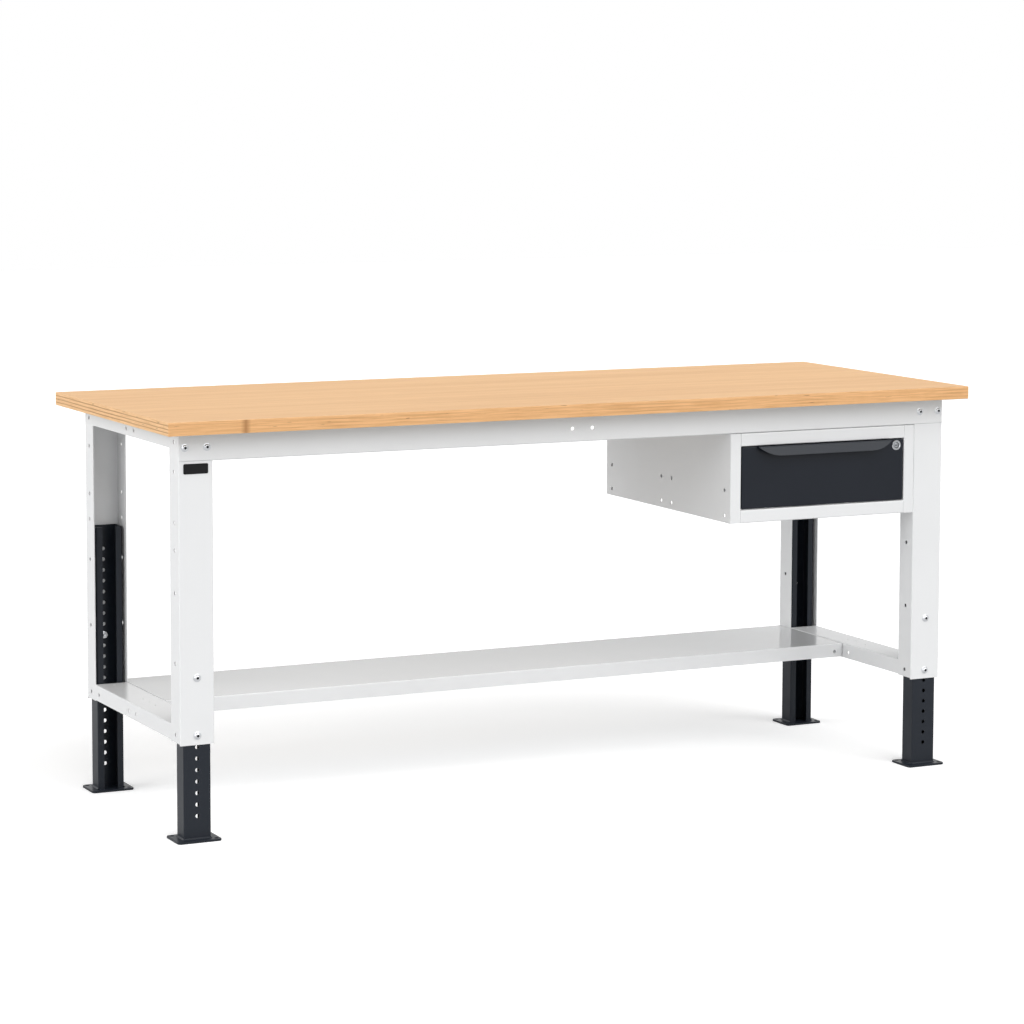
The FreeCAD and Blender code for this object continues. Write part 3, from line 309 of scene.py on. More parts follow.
relief = oblong((POST_WALL + FOLD, -FOLD), (2 * POST_DEPTH, FLANGE_RELIEF))
post_cuts.append((relief, -POST_WIDTH, POST_WIDTH, "X"))
cut_away(post, post_cuts)
CORNERS = {"front_left": False, "front_right": False, "back_left": True, "back_right": True}
for corner, at_back in CORNERS.items():
    node = f"post_{corner}"
    sheet = moved(post, upright_at(node, at_back))
    finish_piece(sheet, f"{node}_sheet", "frame", [pale_coat], [node])
post.free()

# Legs: lipped channels of 2 mm steel that slide in the posts, powder coated anthracite, with a row of pin
# holes every 25 mm. Each is welded to a 5 mm foot plate with rounded corners and two anchor holes.
LEG_WIDTH = 0.062
LEG_DEPTH = 0.044
LEG_LIP = 0.015
LEG_LENGTH = 0.605
LEG_FIRST_HOLE = 0.050
LEG_HOLE_PITCH = 0.025
LEG_HOLE_COUNT = 21
FOOT_CORNER = 0.008
FOOT_ARRIS = 0.0006
FOOT_HOLE_EDGE = 0.010
RIM_ANGLE = math.radians(60)
# The weld bead's size, and its profile as shares of that: how far out, and how high.
WELD = 0.0028
WELD_PROFILE = ((1.0, 0.0), (0.45, 0.4), (0.0, 1.0))
ANTHRACITE = "1E232B"


def soften_rims(mesh, arris):
    """Round the square edges of a mesh a little."""
    rims = [edge for edge in mesh.edges if edge.is_manifold and edge.calc_face_angle() > RIM_ANGLE]
    bmesh.ops.bevel(mesh, geom=rims, offset=arris, segments=2, affect="EDGES", clamp_overlap=True)


def rounded_plate(mesh, low, high, corner, thickness, arris, holes=()):
    """Add a level plate with rounded corners, holes and softened rims to a mesh."""
    start = ((low[0] + high[0]) / 2, low[1])
    corners = oblong(low, high)
    outline = bent([start, *corners[1:], corners[0], start], corner)[:-1]
    extruded(mesh, outline, 0, thickness, "Z")
    if holes:
        cut_away(mesh, [(hole, -thickness, 2 * thickness, "Z") for hole in holes])
    bmesh.ops.recalc_face_normals(mesh, faces=mesh.faces)
    soften_rims(mesh, arris)


dark_coat = powder_coat("anthracite_powder_coat", ANTHRACITE, roughness=0.34, unevenness=0.06, shine=0.25)
leg_path = [
    (-LEG_WIDTH / 2 + LEG_LIP, LEG_DEPTH),
    (-LEG_WIDTH / 2, LEG_DEPTH),
    (-LEG_WIDTH / 2, 0),
    (LEG_WIDTH / 2, 0),
    (LEG_WIDTH / 2, LEG_DEPTH),
    (LEG_WIDTH / 2 - LEG_LIP, LEG_DEPTH),
]
leg_holes = [LEG_FIRST_HOLE + LEG_HOLE_PITCH * step for step in range(LEG_HOLE_COUNT)]
leg = bmesh.new()
extruded(leg, sheet_section(leg_path, POST_WALL, FOLD), 0, LEG_LENGTH, "Z")
cut_away(leg, [(disc((0, rise), BOLT_HOLE), -FOLD, 2 * POST_WALL, "Y") for rise in leg_holes])
weld = bmesh.new()
weld_rings = []
for out_share, up_share in WELD_PROFILE:
    out = WELD * out_share
    half = LEG_WIDTH / 2 + out
    around = bent([(-half, LEG_DEPTH), (-half, -out), (half, -out), (half, LEG_DEPTH)], FOLD + POST_WALL)
    weld_rings.append([weld.verts.new((spot.x, spot.y, WELD * up_share)) for spot in around])
toe, bulge, top = weld_rings
for lower, upper in ((toe, bulge), (bulge, top), (toe, top)):
    for step in range(len(lower) - 1):
        weld.faces.new((lower[step], lower[step + 1], upper[step + 1], upper[step]))
for end in (0, -1):
    weld.faces.new([ring[end] for ring in weld_rings])
foot_low, foot_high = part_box("foot_front_left")
half_x = (foot_high[0] - foot_low[0]) / 2
half_y = (foot_high[1] - foot_low[1]) / 2
foot_thick = foot_high[2] - foot_low[2]
anchor = Vector((half_x - FOOT_HOLE_EDGE, half_y - FOOT_HOLE_EDGE))
anchor_holes = [disc((-anchor.x, anchor.y), BOLT_HOLE), disc((anchor.x, -anchor.y), BOLT_HOLE)]
foot = bmesh.new()
rounded_plate(foot, (-half_x, -half_y), (half_x, half_y), FOOT_CORNER, foot_thick, FOOT_ARRIS, anchor_holes)
for corner, at_back in CORNERS.items():
    leg_node = f"leg_{corner}"
    foot_node = f"foot_{corner}"
    at = upright_at(leg_node, at_back)
    finish_piece(moved(leg, at), f"{leg_node}_sheet", leg_node, [dark_coat], [leg_node])
    finish_piece(moved(weld, at), f"{leg_node}_weld", leg_node, [dark_coat], [])
    low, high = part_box(foot_node)
    at = Matrix.Translation(((low[0] + high[0]) / 2, (low[1] + high[1]) / 2, low[2])) @ half_turn(at_back)
    finish_piece(moved(foot, at), f"{foot_node}_plate", leg_node, [dark_coat], [foot_node])
leg.free()
weld.free()
foot.free()

# Cross-members: channels open at the bottom, welded between the flanges of a front and a back post. The
# lower ones carry the shelf and have a row of small holes on top.
CROSS_WALL = 0.002
CROSS_HEIGHT = 0.035
CROSS_PAIR = 0.050
PAIR_DROP = 0.020
BACK_SHELF_HOLE = 0.225
SMALL_HOLE = 0.006
SMALL_PITCH = 0.040
SMALL_EDGE = 0.020
SCREW_EDGE = 0.060
for level in ("upper", "lower"):
    for side in ("left", "right"):
        node = f"cross_{level}_{side}"
        low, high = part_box(node)
        half = (high[0] - low[0]) / 2
        reach = (high[1] - low[1]) / 2
        side_holes = [-CROSS_PAIR / 2, CROSS_PAIR / 2]
        top_holes = (SCREW_EDGE - reach, reach - SCREW_EDGE)
        if level == "lower":
            side_holes.append(BACK_SHELF_HOLE)
            top_holes = (SMALL_EDGE - reach, -SMALL_PITCH, 0, SMALL_PITCH, reach - SMALL_EDGE)
        cross = bmesh.new()
        path = [(half, -CROSS_HEIGHT), (half, 0), (-half, 0), (-half, -CROSS_HEIGHT)]
        extruded(cross, sheet_section(path, CROSS_WALL, FOLD), -reach, reach, "Y")
        cuts = [(disc((spot, -PAIR_DROP), FLANGE_HOLE), -2 * half, 2 * half, "X") for spot in side_holes]
        through_top = (-CROSS_HEIGHT / 2, CROSS_HEIGHT / 2)
        cuts += [(disc((0, spot), SMALL_HOLE), *through_top, "Z") for spot in top_holes]
        cut_away(cross, cuts)
        at = Matrix.Translation(((low[0] + high[0]) / 2, (low[1] + high[1]) / 2, high[2]))
        finish_piece(moved(cross, at), f"{node}_sheet", "frame", [pale_coat], [node])
        cross.free()

# Rails: one folded sheet along the front and one along the back, lapped over the posts and bolted to them. A
# flange lies under the worktop and a lip stiffens the lower edge, both cut short of the posts.
RAIL_WALL = 0.002
RAIL_SHELF = 0.030
RAIL_LIP = 0.012
RAIL_PAIR = 0.050
RAIL_GAP = 0.001
RAIL_SCREW_SHARES = (-0.3, 0.0, 0.3)
PAST_END = 0.01
rail_path = [
    (RAIL_SHELF, 0),
    (-RAIL_WALL, 0),
    (-RAIL_WALL, -RAIL_HEIGHT),
    (RAIL_LIP, -RAIL_HEIGHT),
]
post_low, post_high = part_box("post_front_right")
post_x = (post_low[0] + post_high[0]) / 2
flange_end = post_low[0] - RAIL_GAP
for node, at_back in (("rail_front", False), ("rail_back", True)):
    low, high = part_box(node)
    half = (high[0] - low[0]) / 2
    rail = bmesh.new()
    extruded(rail, sheet_section(rail_path, RAIL_WALL, FOLD), -half, half, "X")
    cuts = []
    for side in (-1, 1):
        ends = sorted((side * flange_end, side * (half + PAST_END)))
        cuts.append((oblong((ends[0], 0), (ends[1], 2 * RAIL_SHELF)), -2 * RAIL_HEIGHT, RAIL_HEIGHT, "Z"))
        web_holes = [side * post_x + end * RAIL_BOLT_SPACING / 2 for end in (-1, 1)]
        web_holes.append(side * RAIL_PAIR / 2)
        for spot in web_holes:
            cuts.append((disc((spot, -RAIL_HEIGHT / 2), BOLT_HOLE), -2 * RAIL_WALL, RAIL_WALL, "Y"))
    for share in RAIL_SCREW_SHARES:
        cuts.append((disc((share * 2 * half, RAIL_SHELF / 2), SMALL_HOLE), -RAIL_HEIGHT / 2, RAIL_WALL, "Z"))
    cut_away(rail, cuts)
    y = high[1] - RAIL_WALL if at_back else low[1] + RAIL_WALL
    at = Matrix.Translation((0, y, high[2])) @ half_turn(at_back)
    finish_piece(moved(rail, at), f"{node}_sheet", "frame", [pale_coat], [node])
    rail.free()

# Shelf: one sheet with its four edges folded down 33 mm, bolted through its ends to the lower cross-members.
# Its powder coat is the frame's. The top is glossier, so the back leg mirrors in it, and a shade greyer:
# painted shade.
SHELF_WALL = 0.0015
SHELF_FOLD = 0.0025
LIP_HOLE_INSET = 0.022
SHELF_BOLT_INSETS = (0.025, 0.225)
# A shade greyer than the frame's coat: painted shade on the shelf's top.
SHELF_TOP_PAINTED_SHADE = "D6D7D8"
FACES_UP = 0.9


def folded_pan(mesh, low, high, open_axis, open_side, wall, fold):
    """Add a sheet tray: a box with one open side, rounded folds and an inside face."""
    box = bmesh.ops.create_cube(mesh, size=1.0)["verts"]
    size = Vector(high) - Vector(low)
    middle = (Vector(high) + Vector(low)) / 2
    for vert in box:
        vert.co = Vector([middle[way] + vert.co[way] * size[way] for way in range(3)])
    mouth = max(mesh.faces, key=lambda face: open_side * face.calc_center_median()[open_axis])
    rim = set(mouth.edges)
    bmesh.ops.delete(mesh, geom=[mouth], context="FACES_ONLY")
    folds = [edge for edge in mesh.edges if edge not in rim]
    bmesh.ops.bevel(mesh, geom=folds, offset=fold, segments=4, affect="EDGES", profile=0.5)
    bmesh.ops.recalc_face_normals(mesh, faces=mesh.faces)
    outward = sum((face.calc_center_median() - middle).dot(face.normal) for face in mesh.faces)
    if outward < 0:
        bmesh.ops.reverse_faces(mesh, faces=mesh.faces)
    bmesh.ops.solidify(mesh, geom=mesh.faces[:] + mesh.edges[:] + mesh.verts[:], thickness=wall)


shelf_low, shelf_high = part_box("shelf")
shelf = bmesh.new()
folded_pan(shelf, shelf_low, shelf_high, 2, -1, SHELF_WALL, SHELF_FOLD)
shelf_hole_z = shelf_high[2] - PAIR_DROP
through_front = (shelf_low[1] - FOLD, shelf_low[1] + 2 * SHELF_WALL)
shelf_cuts = [
    (disc((side * (shelf_high[0] - LIP_HOLE_INSET), shelf_hole_z), FLANGE_HOLE), *through_front, "Y")
    for side in (-1, 1)
]
shelf_cuts += [
    (disc((shelf_low[1] + inset, shelf_hole_z), BOLT_HOLE), 2 * shelf_low[0], 2 * shelf_high[0], "X")
    for inset in SHELF_BOLT_INSETS
]
cut_away(shelf, shelf_cuts)
shelf_top_shaded_coat = powder_coat("glossy_shelf_top_painted_shade", SHELF_TOP_PAINTED_SHADE, roughness=0.09, unevenness=0.02, shine=0.5)
# The faces on top take the greyer coat, which is painted shade.
for face in shelf.faces:
    on_top = face.normal.z > FACES_UP and face.calc_center_median().z > shelf_hole_z
    face.material_index = 1 if on_top else 0
finish_piece(shelf, "shelf_sheet", "frame", [pale_coat, shelf_top_shaded_coat], ["shelf"])

# Drawer unit: two folded sides whose front edges form the stiles, a bar above and below the opening, a back
# and a top. It is spot welded, coated pale grey, bolted to the right posts and hung from the worktop.
UNIT_WALL = 0.0015
UNIT_FLANGE = 0.020
UNIT_FOLD = 0.001
STILE_WIDTH = 0.028
STILE_RETURN = 0.012
BAR_RETURN = 0.015
UNIT_HOLE_DROPS = (0.1325, 0.191)


def take_in(mesh, other):
    """Add all of another mesh to a mesh, and free the other."""
    carrier = bpy.data.meshes.new("carrier")
    other.to_mesh(carrier)
    other.free()
    mesh.from_mesh(carrier)
    bpy.data.meshes.remove(carrier)


def coat(material, *nodes):
    """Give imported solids, which stay as they are, their material."""
    for node in nodes:
        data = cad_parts[node].data
        data.materials.clear()
        data.materials.append(material)


for node, hand in (("unit_side_left", 1), ("unit_side_right", -1)):
    low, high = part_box(node)
    outer = low[0] if hand > 0 else high[0]
    tall = high[2] - low[2]
    deep = high[1] - low[1]
    side = bmesh.new()
    web = [(UNIT_FLANGE, 0), (0, 0), (0, -tall), (UNIT_FLANGE, -tall)]
    extruded(side, sheet_section(web, UNIT_WALL, UNIT_FOLD), STILE_RETURN, deep, "Y")
    y_spots = (POST_DEPTH / 2, deep - POST_DEPTH / 2, (deep - CROSS_PAIR) / 2, (deep + CROSS_PAIR) / 2)
    side_cuts = [
        (disc((spot, -drop), FLANGE_HOLE), -FOLD, 2 * UNIT_WALL, "X")
        for drop in UNIT_HOLE_DROPS
        for spot in y_spots
    ]
    cut_away(side, side_cuts)
    stile = bmesh.new()
    turn_in = [(0, STILE_RETURN), (0, 0), (STILE_WIDTH, 0), (STILE_WIDTH, STILE_RETURN)]
    extruded(stile, sheet_section(turn_in, UNIT_WALL, UNIT_FOLD), -tall, 0, "Z")
    bottom_lip = oblong((UNIT_WALL, UNIT_WALL), (STILE_WIDTH - UNIT_WALL, STILE_RETURN))
    extruded(stile, bottom_lip, -tall, UNIT_WALL - tall, "Z")
    take_in(side, stile)
    at = Matrix.Translation((outer, low[1], high[2])) @ Matrix.Diagonal((hand, 1, 1, 1))
    finish_piece(moved(side, at), f"{node}_sheet", "frame", [pale_coat], [node])
    side.free()
for node, at_top in (("unit_bar_top", True), ("unit_bar_bottom", False)):
    low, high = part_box(node)
    tall = high[2] - low[2]
    bar = bmesh.new()
    path = [(UNIT_FLANGE, 0), (0, 0), (0, -tall), (BAR_RETURN, -tall)]
    extruded(bar, sheet_section(path, UNIT_WALL, UNIT_FOLD), low[0], high[0], "X")
    edge = high[2] if at_top else low[2]
    at = Matrix.Translation((0, low[1], edge)) @ Matrix.Diagonal((1, 1, 1 if at_top else -1, 1))
    finish_piece(moved(bar, at), f"{node}_sheet", "frame", [pale_coat], [node])
    bar.free()
coat(pale_coat, "unit_back", "unit_top", "hanger_front", "hanger_back")

# Runners: three channels to a side, roll formed from bright zinc plated steel and nested with running
# clearance. A spacer carries the outer one on the unit's side, and the inner one is fixed to the tray.
ZINC = "CFD1D4"
DRAWN_LINES = (900.0, 12.0, 900.0)


def zinc_plate(name, roughness):
    """Bright zinc on steel: a bluish white metal with faint drawing lines of 1 mm along the piece."""
    material, tree, shader, place = start_material(name)
    drawn = add_node(tree, "ShaderNodeMapping", {"Scale": DRAWN_LINES}, {"Vector": place})
    lines = add_node(tree, "ShaderNodeTexNoise", {"Scale": 1.0, "Detail": 3.0}, {"Vector": drawn.outputs[0]})
    gloss = add_node(
        tree,
        "ShaderNodeMapRange",
        {**NOISE_BAND, "To Min": roughness - 0.06, "To Max": roughness + 0.08},
        {"Value": lines.outputs["Fac"]},
    )
    shader.inputs["Base Color"].default_value = linear(ZINC)
    shader.inputs["Metallic"].default_value = 1.0
    tree.links.new(gloss.outputs["Result"], shader.inputs["Roughness"])
    return material


zinc = zinc_plate("bright_zinc_plate", roughness=0.30)
for kind in ("spacer", "outer", "middle", "inner"):
    coat(zinc, f"runner_{kind}_left", f"runner_{kind}_right")

# Drawer: a welded tray of 1 mm sheet behind a folded front, whose top edge comes forward and down as a
# hooded pull with swept ends. The front is anthracite, darker than the legs' as painted shade; the tray pale
# grey.
FRONT_WALL = 0.0015
FRONT_FOLD = 0.0022
# The legs' anthracite made darker for the front: painted shade.
FRONT_PAINTED_SHADE_ANTHRACITE = "141922"
LOCK_BARREL = 0.018
LOCK_PLAY = 0.0002
PULL_WIDTH = 0.358
PULL_LEDGE = 0.011
PULL_REACH = 0.021
PULL_DROP = 0.021
PULL_SLOPE = 0.056
PULL_FOLD = 0.0012
PULL_ARRIS = 0.0005
SWEEP_STEPS = 16
PAST_PULL = 0.01
BELOW_PULL = 0.005
coat(pale_coat, "drawer_tray")
low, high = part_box("drawer_front")
face_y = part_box("unit_bar_top")[0][1]
lock_low, lock_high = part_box("lock_barrel")
lock_x = (lock_low[0] + lock_high[0]) / 2
lock_z = (lock_low[2] + lock_high[2]) / 2
front = bmesh.new()
folded_pan(front, (low[0], face_y, low[2]), high, 1, 1, FRONT_WALL, FRONT_FOLD)
lock_hole = disc((lock_x, lock_z), LOCK_BARREL + LOCK_PLAY)
cut_away(front, [(lock_hole, face_y - FOLD, face_y + 2 * FRONT_WALL, "Y")])
front_shaded_coat = powder_coat(
    "anthracite_front_painted_shade", FRONT_PAINTED_SHADE_ANTHRACITE, roughness=0.34, unevenness=0.06, shine=0.25
)
finish_piece(front, "drawer_front_sheet", "drawer", [front_shaded_coat], ["drawer_front"])
pull_path = [
    (face_y + FRONT_FOLD, high[2]),
    (face_y - PULL_LEDGE, high[2]),
    (face_y - PULL_REACH, high[2] - PULL_DROP),
]
pull = bmesh.new()
middle_x = (low[0] + high[0]) / 2
pull_section = sheet_section(pull_path, FRONT_WALL, PULL_FOLD)
extruded(pull, pull_section, middle_x - PULL_WIDTH / 2, middle_x + PULL_WIDTH / 2, "X")
foot_z = high[2] - PULL_DROP
fall = PULL_DROP - FRONT_WALL
swing = (PULL_SLOPE**2 + fall**2) / (2 * fall)
sweep = math.asin(PULL_SLOPE / swing)
pull_cuts = []
for hand in (-1, 1):
    foot_x = middle_x + hand * (PULL_WIDTH / 2 - PULL_SLOPE)
    arc = []
    for step in range(SWEEP_STEPS + 1):
        turn = sweep * step / SWEEP_STEPS
        arc.append((foot_x + hand * math.sin(turn) * swing, foot_z + (1 - math.cos(turn)) * swing))
    far = foot_x + hand * (PULL_SLOPE + PAST_PULL)
    below = foot_z - BELOW_PULL
    outline = arc + [(far, arc[-1][1]), (far, below), (foot_x, below)]
    pull_cuts.append((outline, face_y - 2 * PULL_REACH, face_y - FRONT_WALL / 2, "Y"))
cut_away(pull, pull_cuts)
soften_rims(pull, PULL_ARRIS)
finish_piece(pull, "drawer_pull", "drawer", [dark_coat], [])

# Drawer lock: a cam lock of chromed zinc, with a turned bezel, a core with a key slot, a fixing nut behind
# the front and a stamped cam.
CHROME = "B2B5B9"
SATIN_NICKEL = "9A9DA1"
# A dark grey for painted shade inside sockets, key slots and grooves.
RECESS_PAINTED_SHADE_GREY = "3A3B3D"
SCRATCHES_PER_METRE = 1500.0
GRIT_PER_METRE = 2000.0
LOCK_STEPS = 40
CORE_RADIUS = 0.006
CORE_PLAY = 0.0001
CORE_GROOVE = 0.0012
CORE_CHAMFER = 0.0008
KEY_WIDTH = 0.0018
KEY_HEIGHT = 0.0075
BEZEL_RADIUS = 0.012
BEZEL_PROUD = 0.002
# Shares of the bezel's height: the groove's floor and rim, the core's face and the foot of its chamfer.
GROOVE_FLOOR = 0.1
GROOVE_RIM = 0.62
CORE_FACE = 0.7
CORE_CHAMFER_FOOT = 0.4
# The bezel's dome from the groove outward: how far in from its rim, and the share of its height.
BEZEL_DOME = ((0.0032, 0.66), (0.0026, 1.0), (0.0008, 1.0), (0.0, 0.55), (0.0, 0.0))


def chrome_plate(name, colour, low, high):
    """Chrome or nickel on a zinc casting: a cool mirror, more or less blurred by fine scratches."""
    material, tree, shader, place = start_material(name)
    scratch = add_node(
        tree, "ShaderNodeTexNoise", {"Scale": SCRATCHES_PER_METRE, "Detail": 2.0}, {"Vector": place}
    )
    gloss = add_node(
        tree,
        "ShaderNodeMapRange",
        {**NOISE_BAND, "To Min": low, "To Max": high},
        {"Value": scratch.outputs["Fac"]},
    )
    shader.inputs["Base Color"].default_value = linear(colour)
    shader.inputs["Metallic"].default_value = 1.0
    tree.links.new(gloss.outputs["Result"], shader.inputs["Roughness"])
    return material


def recess_painted_shade_steel(name):
    """Steel deep inside a key slot, a groove or a socket, coloured dark grey as painted shade."""
    material, tree, shader, place = start_material(name)
    grit = add_node(tree, "ShaderNodeTexNoise", {"Scale": GRIT_PER_METRE}, {"Vector": place})
    worn = add_node(
        tree, "ShaderNodeMapRange", {"To Min": 0.5, "To Max": 0.8}, {"Value": grit.outputs["Fac"]}
    )
    shader.inputs["Base Color"].default_value = linear(RECESS_PAINTED_SHADE_GREY)
    shader.inputs["Metallic"].default_value = 1.0
    tree.links.new(worn.outputs["Result"], shader.inputs["Roughness"])
    return material


def lathe(mesh, profile, steps):
    """Add a form turned about Z to a mesh, from its outline as (radius, height) pairs."""
    rings = []
    for radius, height in profile:
        if radius == 0:
            rings.append([mesh.verts.new((0, 0, height))])
            continue
        turns = [math.tau * step / steps for step in range(steps)]
        rings.append(
            [mesh.verts.new((radius * math.cos(turn), radius * math.sin(turn), height)) for turn in turns]
        )
    for first, second in zip(rings, rings[1:]):
        for step in range(steps):
            after = (step + 1) % steps
            corners = [first[step % len(first)], first[after % len(first)]]
            corners += [second[after % len(second)], second[step % len(second)]]
            mesh.faces.new(list(dict.fromkeys(corners)))


chrome = chrome_plate("polished_chrome", CHROME, 0.06, 0.16)
satin_core = chrome_plate("satin_nickel_core", SATIN_NICKEL, 0.28, 0.4)
recess_shade = recess_painted_shade_steel("recess_painted_shade")
facing_front = Matrix.Rotation(-math.pi / 2, 4, "X")
lock_at = Matrix.Translation((lock_x, face_y, lock_z)) @ facing_front
barrel_back = lock_high[1] - face_y
barrel_bore = CORE_RADIUS + CORE_PLAY
groove_edge = CORE_RADIUS + CORE_GROOVE
barrel_profile = [
    (barrel_bore, -BEZEL_PROUD * GROOVE_FLOOR),
    (groove_edge, -BEZEL_PROUD * GROOVE_FLOOR),
    (groove_edge, -BEZEL_PROUD * GROOVE_RIM),
    *[(BEZEL_RADIUS - inset, -BEZEL_PROUD * share) for inset, share in BEZEL_DOME],
    (LOCK_BARREL / 2, 0),
    (LOCK_BARREL / 2, barrel_back),
    (barrel_bore, barrel_back),
    (barrel_bore, -BEZEL_PROUD * GROOVE_FLOOR),
]
barrel = bmesh.new()
lathe(barrel, barrel_profile, LOCK_STEPS)
# The groove round the core takes the dark material: painted shade.
for face in barrel.faces:
    spot = face.calc_center_median()
    in_groove = spot.xy.length < groove_edge + CORE_PLAY and -0.5 * BEZEL_PROUD < spot.z < 0
    face.material_index = 1 if in_groove else 0
barrel_looks = [chrome, recess_shade]
finish_piece(moved(barrel, lock_at), "lock_bezel", "drawer", barrel_looks, ["lock_barrel"])
barrel.free()
core_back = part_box("lock_core")[1][1] - face_y
core_side = CORE_RADIUS - CORE_PLAY / 2
core_profile = [
    (0, -BEZEL_PROUD * CORE_FACE),
    (CORE_RADIUS - CORE_CHAMFER, -BEZEL_PROUD * CORE_FACE),
    (core_side, -BEZEL_PROUD * CORE_CHAMFER_FOOT),
    (core_side, core_back),
    (0, core_back),
]
core = bmesh.new()
lathe(core, core_profile, LOCK_STEPS)
key_slot = oblong((-KEY_HEIGHT / 2, -KEY_WIDTH / 2), (KEY_HEIGHT / 2, KEY_WIDTH / 2))
cut_away(core, [(key_slot, -2 * BEZEL_PROUD, 2 * BEZEL_PROUD, "Z")])
# The key slot takes the dark material: painted shade.
for face in core.faces:
    spot = face.calc_center_median()
    in_slot = spot.xy.length < CORE_RADIUS / 2 and spot.z > -0.6 * BEZEL_PROUD
    face.material_index = 1 if in_slot else 0
core_looks = [satin_core, recess_shade]
finish_piece(moved(core, lock_at), "lock_core_face", "lock", core_looks, ["lock_core"])
core.free()
coat(zinc, "lock_nut", "lock_cam")

# Fasteners: M8 flanged button-head bolts with a hexagon socket and their nuts, bright zinc plated, and the
# wood screws that come up into the worktop.
HEAD_HEIGHT = 0.0044
# A bolt from its crown to its point as (radius, height) pairs: button, flange, shank and chamfer.
BOLT_PROFILE = (
    (0, -HEAD_HEIGHT),
    (0.0034, -HEAD_HEIGHT),
    (0.0047, -0.0039),
    (0.0058, -0.0031),
    (0.0066, -0.0018),
    (0.0068, -0.0013),
    (0.0080, -0.0012),
    (0.00875, -0.0008),
    (0.00875, 0),
    (0.0039, 0),
    (0.0039, 0.0134),
    (0.0033, 0.0140),
    (0, 0.0140),
)
SOCKET = 0.005
SOCKET_DEPTH = 0.0027
SOCKET_RIM = 0.001
NUT_WIDTH = 0.013
NUT_BORE = 0.0082
NUT_BODY = (0.0014, 0.0064)
NUT_FLANGE = (
    (0.0041, 0),
    (0.0086, 0),
    (0.0086, 0.0010),
    (0.0072, 0.0016),
    (0.0041, 0.0016),
    (0.0041, 0),
)
M8_STEPS = 24
SCREW_HEAD = 0.0025
SCREW_PROFILE = (
    (0, -SCREW_HEAD),
    (0.0030, -SCREW_HEAD),
    (0.0044, -0.0019),
    (0.0050, -0.0008),
    (0.0050, 0),
    (0.0024, 0),
    (0.0024, 0.018),
    (0, 0.022),
)
SCREW_STEPS = 20
SLOT_LENGTH = 0.0044
SLOT_WIDTH = 0.001
SLOT_DEPTH = 0.001


def hexagon(width):
    """The outline of a hexagon of a given width across its flats."""
    reach = width / 2 / math.cos(math.pi / 6)
    turns = [math.tau * step / 6 for step in range(6)]
    return [(reach * math.cos(turn), reach * math.sin(turn)) for turn in turns]


def bolt_mesh():
    """A flanged button-head bolt along +Z from its bearing face. Its socket takes the dark painted-shade
    material.
    """
    mesh = bmesh.new()
    lathe(mesh, BOLT_PROFILE, M8_STEPS)
    cut_away(mesh, [(hexagon(SOCKET), -2 * HEAD_HEIGHT, SOCKET_DEPTH - HEAD_HEIGHT, "Z")])
    for face in mesh.faces:
        spot = face.calc_center_median()
        in_socket = spot.xy.length < 0.6 * SOCKET and -HEAD_HEIGHT < spot.z < -SOCKET_RIM
        face.material_index = 1 if in_socket else 0
    return mesh


def nut_mesh():
    """A flanged hexagon nut along +Z from its bearing face."""
    mesh = bmesh.new()
    lathe(mesh, NUT_FLANGE, M8_STEPS)
    body = bmesh.new()
    extruded(body, hexagon(NUT_WIDTH), *NUT_BODY, "Z")
    cut_away(body, [(disc((0, 0), NUT_BORE, M8_STEPS), 0.0, 2 * NUT_BODY[1], "Z")])
    take_in(mesh, body)
    return mesh


def screw_mesh():
    """A pan-head wood screw along +Z from its bearing face, with a crossed slot."""
    mesh = bmesh.new()
    lathe(mesh, SCREW_PROFILE, SCREW_STEPS)
    slot = oblong((-SLOT_LENGTH / 2, -SLOT_WIDTH / 2), (SLOT_LENGTH / 2, SLOT_WIDTH / 2))
    for outline in (slot, [(v, -u) for u, v in slot]):
        cut_away(mesh, [(outline, -2 * SCREW_HEAD, SLOT_DEPTH - SCREW_HEAD, "Z")])
    return mesh


def islands(node):
    """The separate solids of a node, each as its lowest and highest corner."""
    mesh = bmesh.new()
    mesh.from_mesh(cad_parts[node].data)
    bmesh.ops.remove_doubles(mesh, verts=mesh.verts, dist=1e-6)
    left = set(mesh.verts)
    found = []
    while left:
        stack = [left.pop()]
        group = []
        while stack:
            vert = stack.pop()
            group.append(vert.co.copy())
            for edge in vert.link_edges:
                other = edge.other_vert(vert)
                if other in left:
                    left.remove(other)
                    stack.append(other)
        low = Vector([min(spot[way] for spot in group) for way in range(3)])
        high = Vector([max(spot[way] for spot in group) for way in range(3)])
        found.append((low, high))
    mesh.free()
    return sorted(found, key=lambda pair: tuple(round(value, 4) for value in pair[0]))


def fasteners(name, shape, node, inward, proud):
    """One piece of like fasteners. Each bears where its solid does, and inward gives the way it points."""
    group = bmesh.new()
    for low, high in islands(node):
        spot = (low + high) / 2
        way = Vector(inward(spot))
        axis = max(range(3), key=lambda number: abs(way[number]))
        spot[axis] = (low[axis] if way[axis] > 0 else high[axis]) + way[axis] * proud
        turn = Vector((0, 0, 1)).rotation_difference(way).to_matrix().to_4x4()
        take_in(group, moved(shape, Matrix.Translation(spot) @ turn))
    finish_piece(group, name, "frame", [zinc, recess_shade], [node])


def across_y(middle):
    """From the front or back of the bench inward."""
    return (0, 1 if middle.y < 0 else -1, 0)


def to_ends(middle):
    """From the shelf outward, to the nearer end of the bench."""
    return (1 if middle.x > 0 else -1, 0, 0)


def into_unit(middle):
    """Down where the straps hold the unit's free side, and from the right posts into its other side."""
    return (0, 0, -1) if middle.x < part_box("unit_side_left")[1][0] else (-1, 0, 0)


def upward(middle):
    """Up into the worktop."""
    return (0, 0, 1)


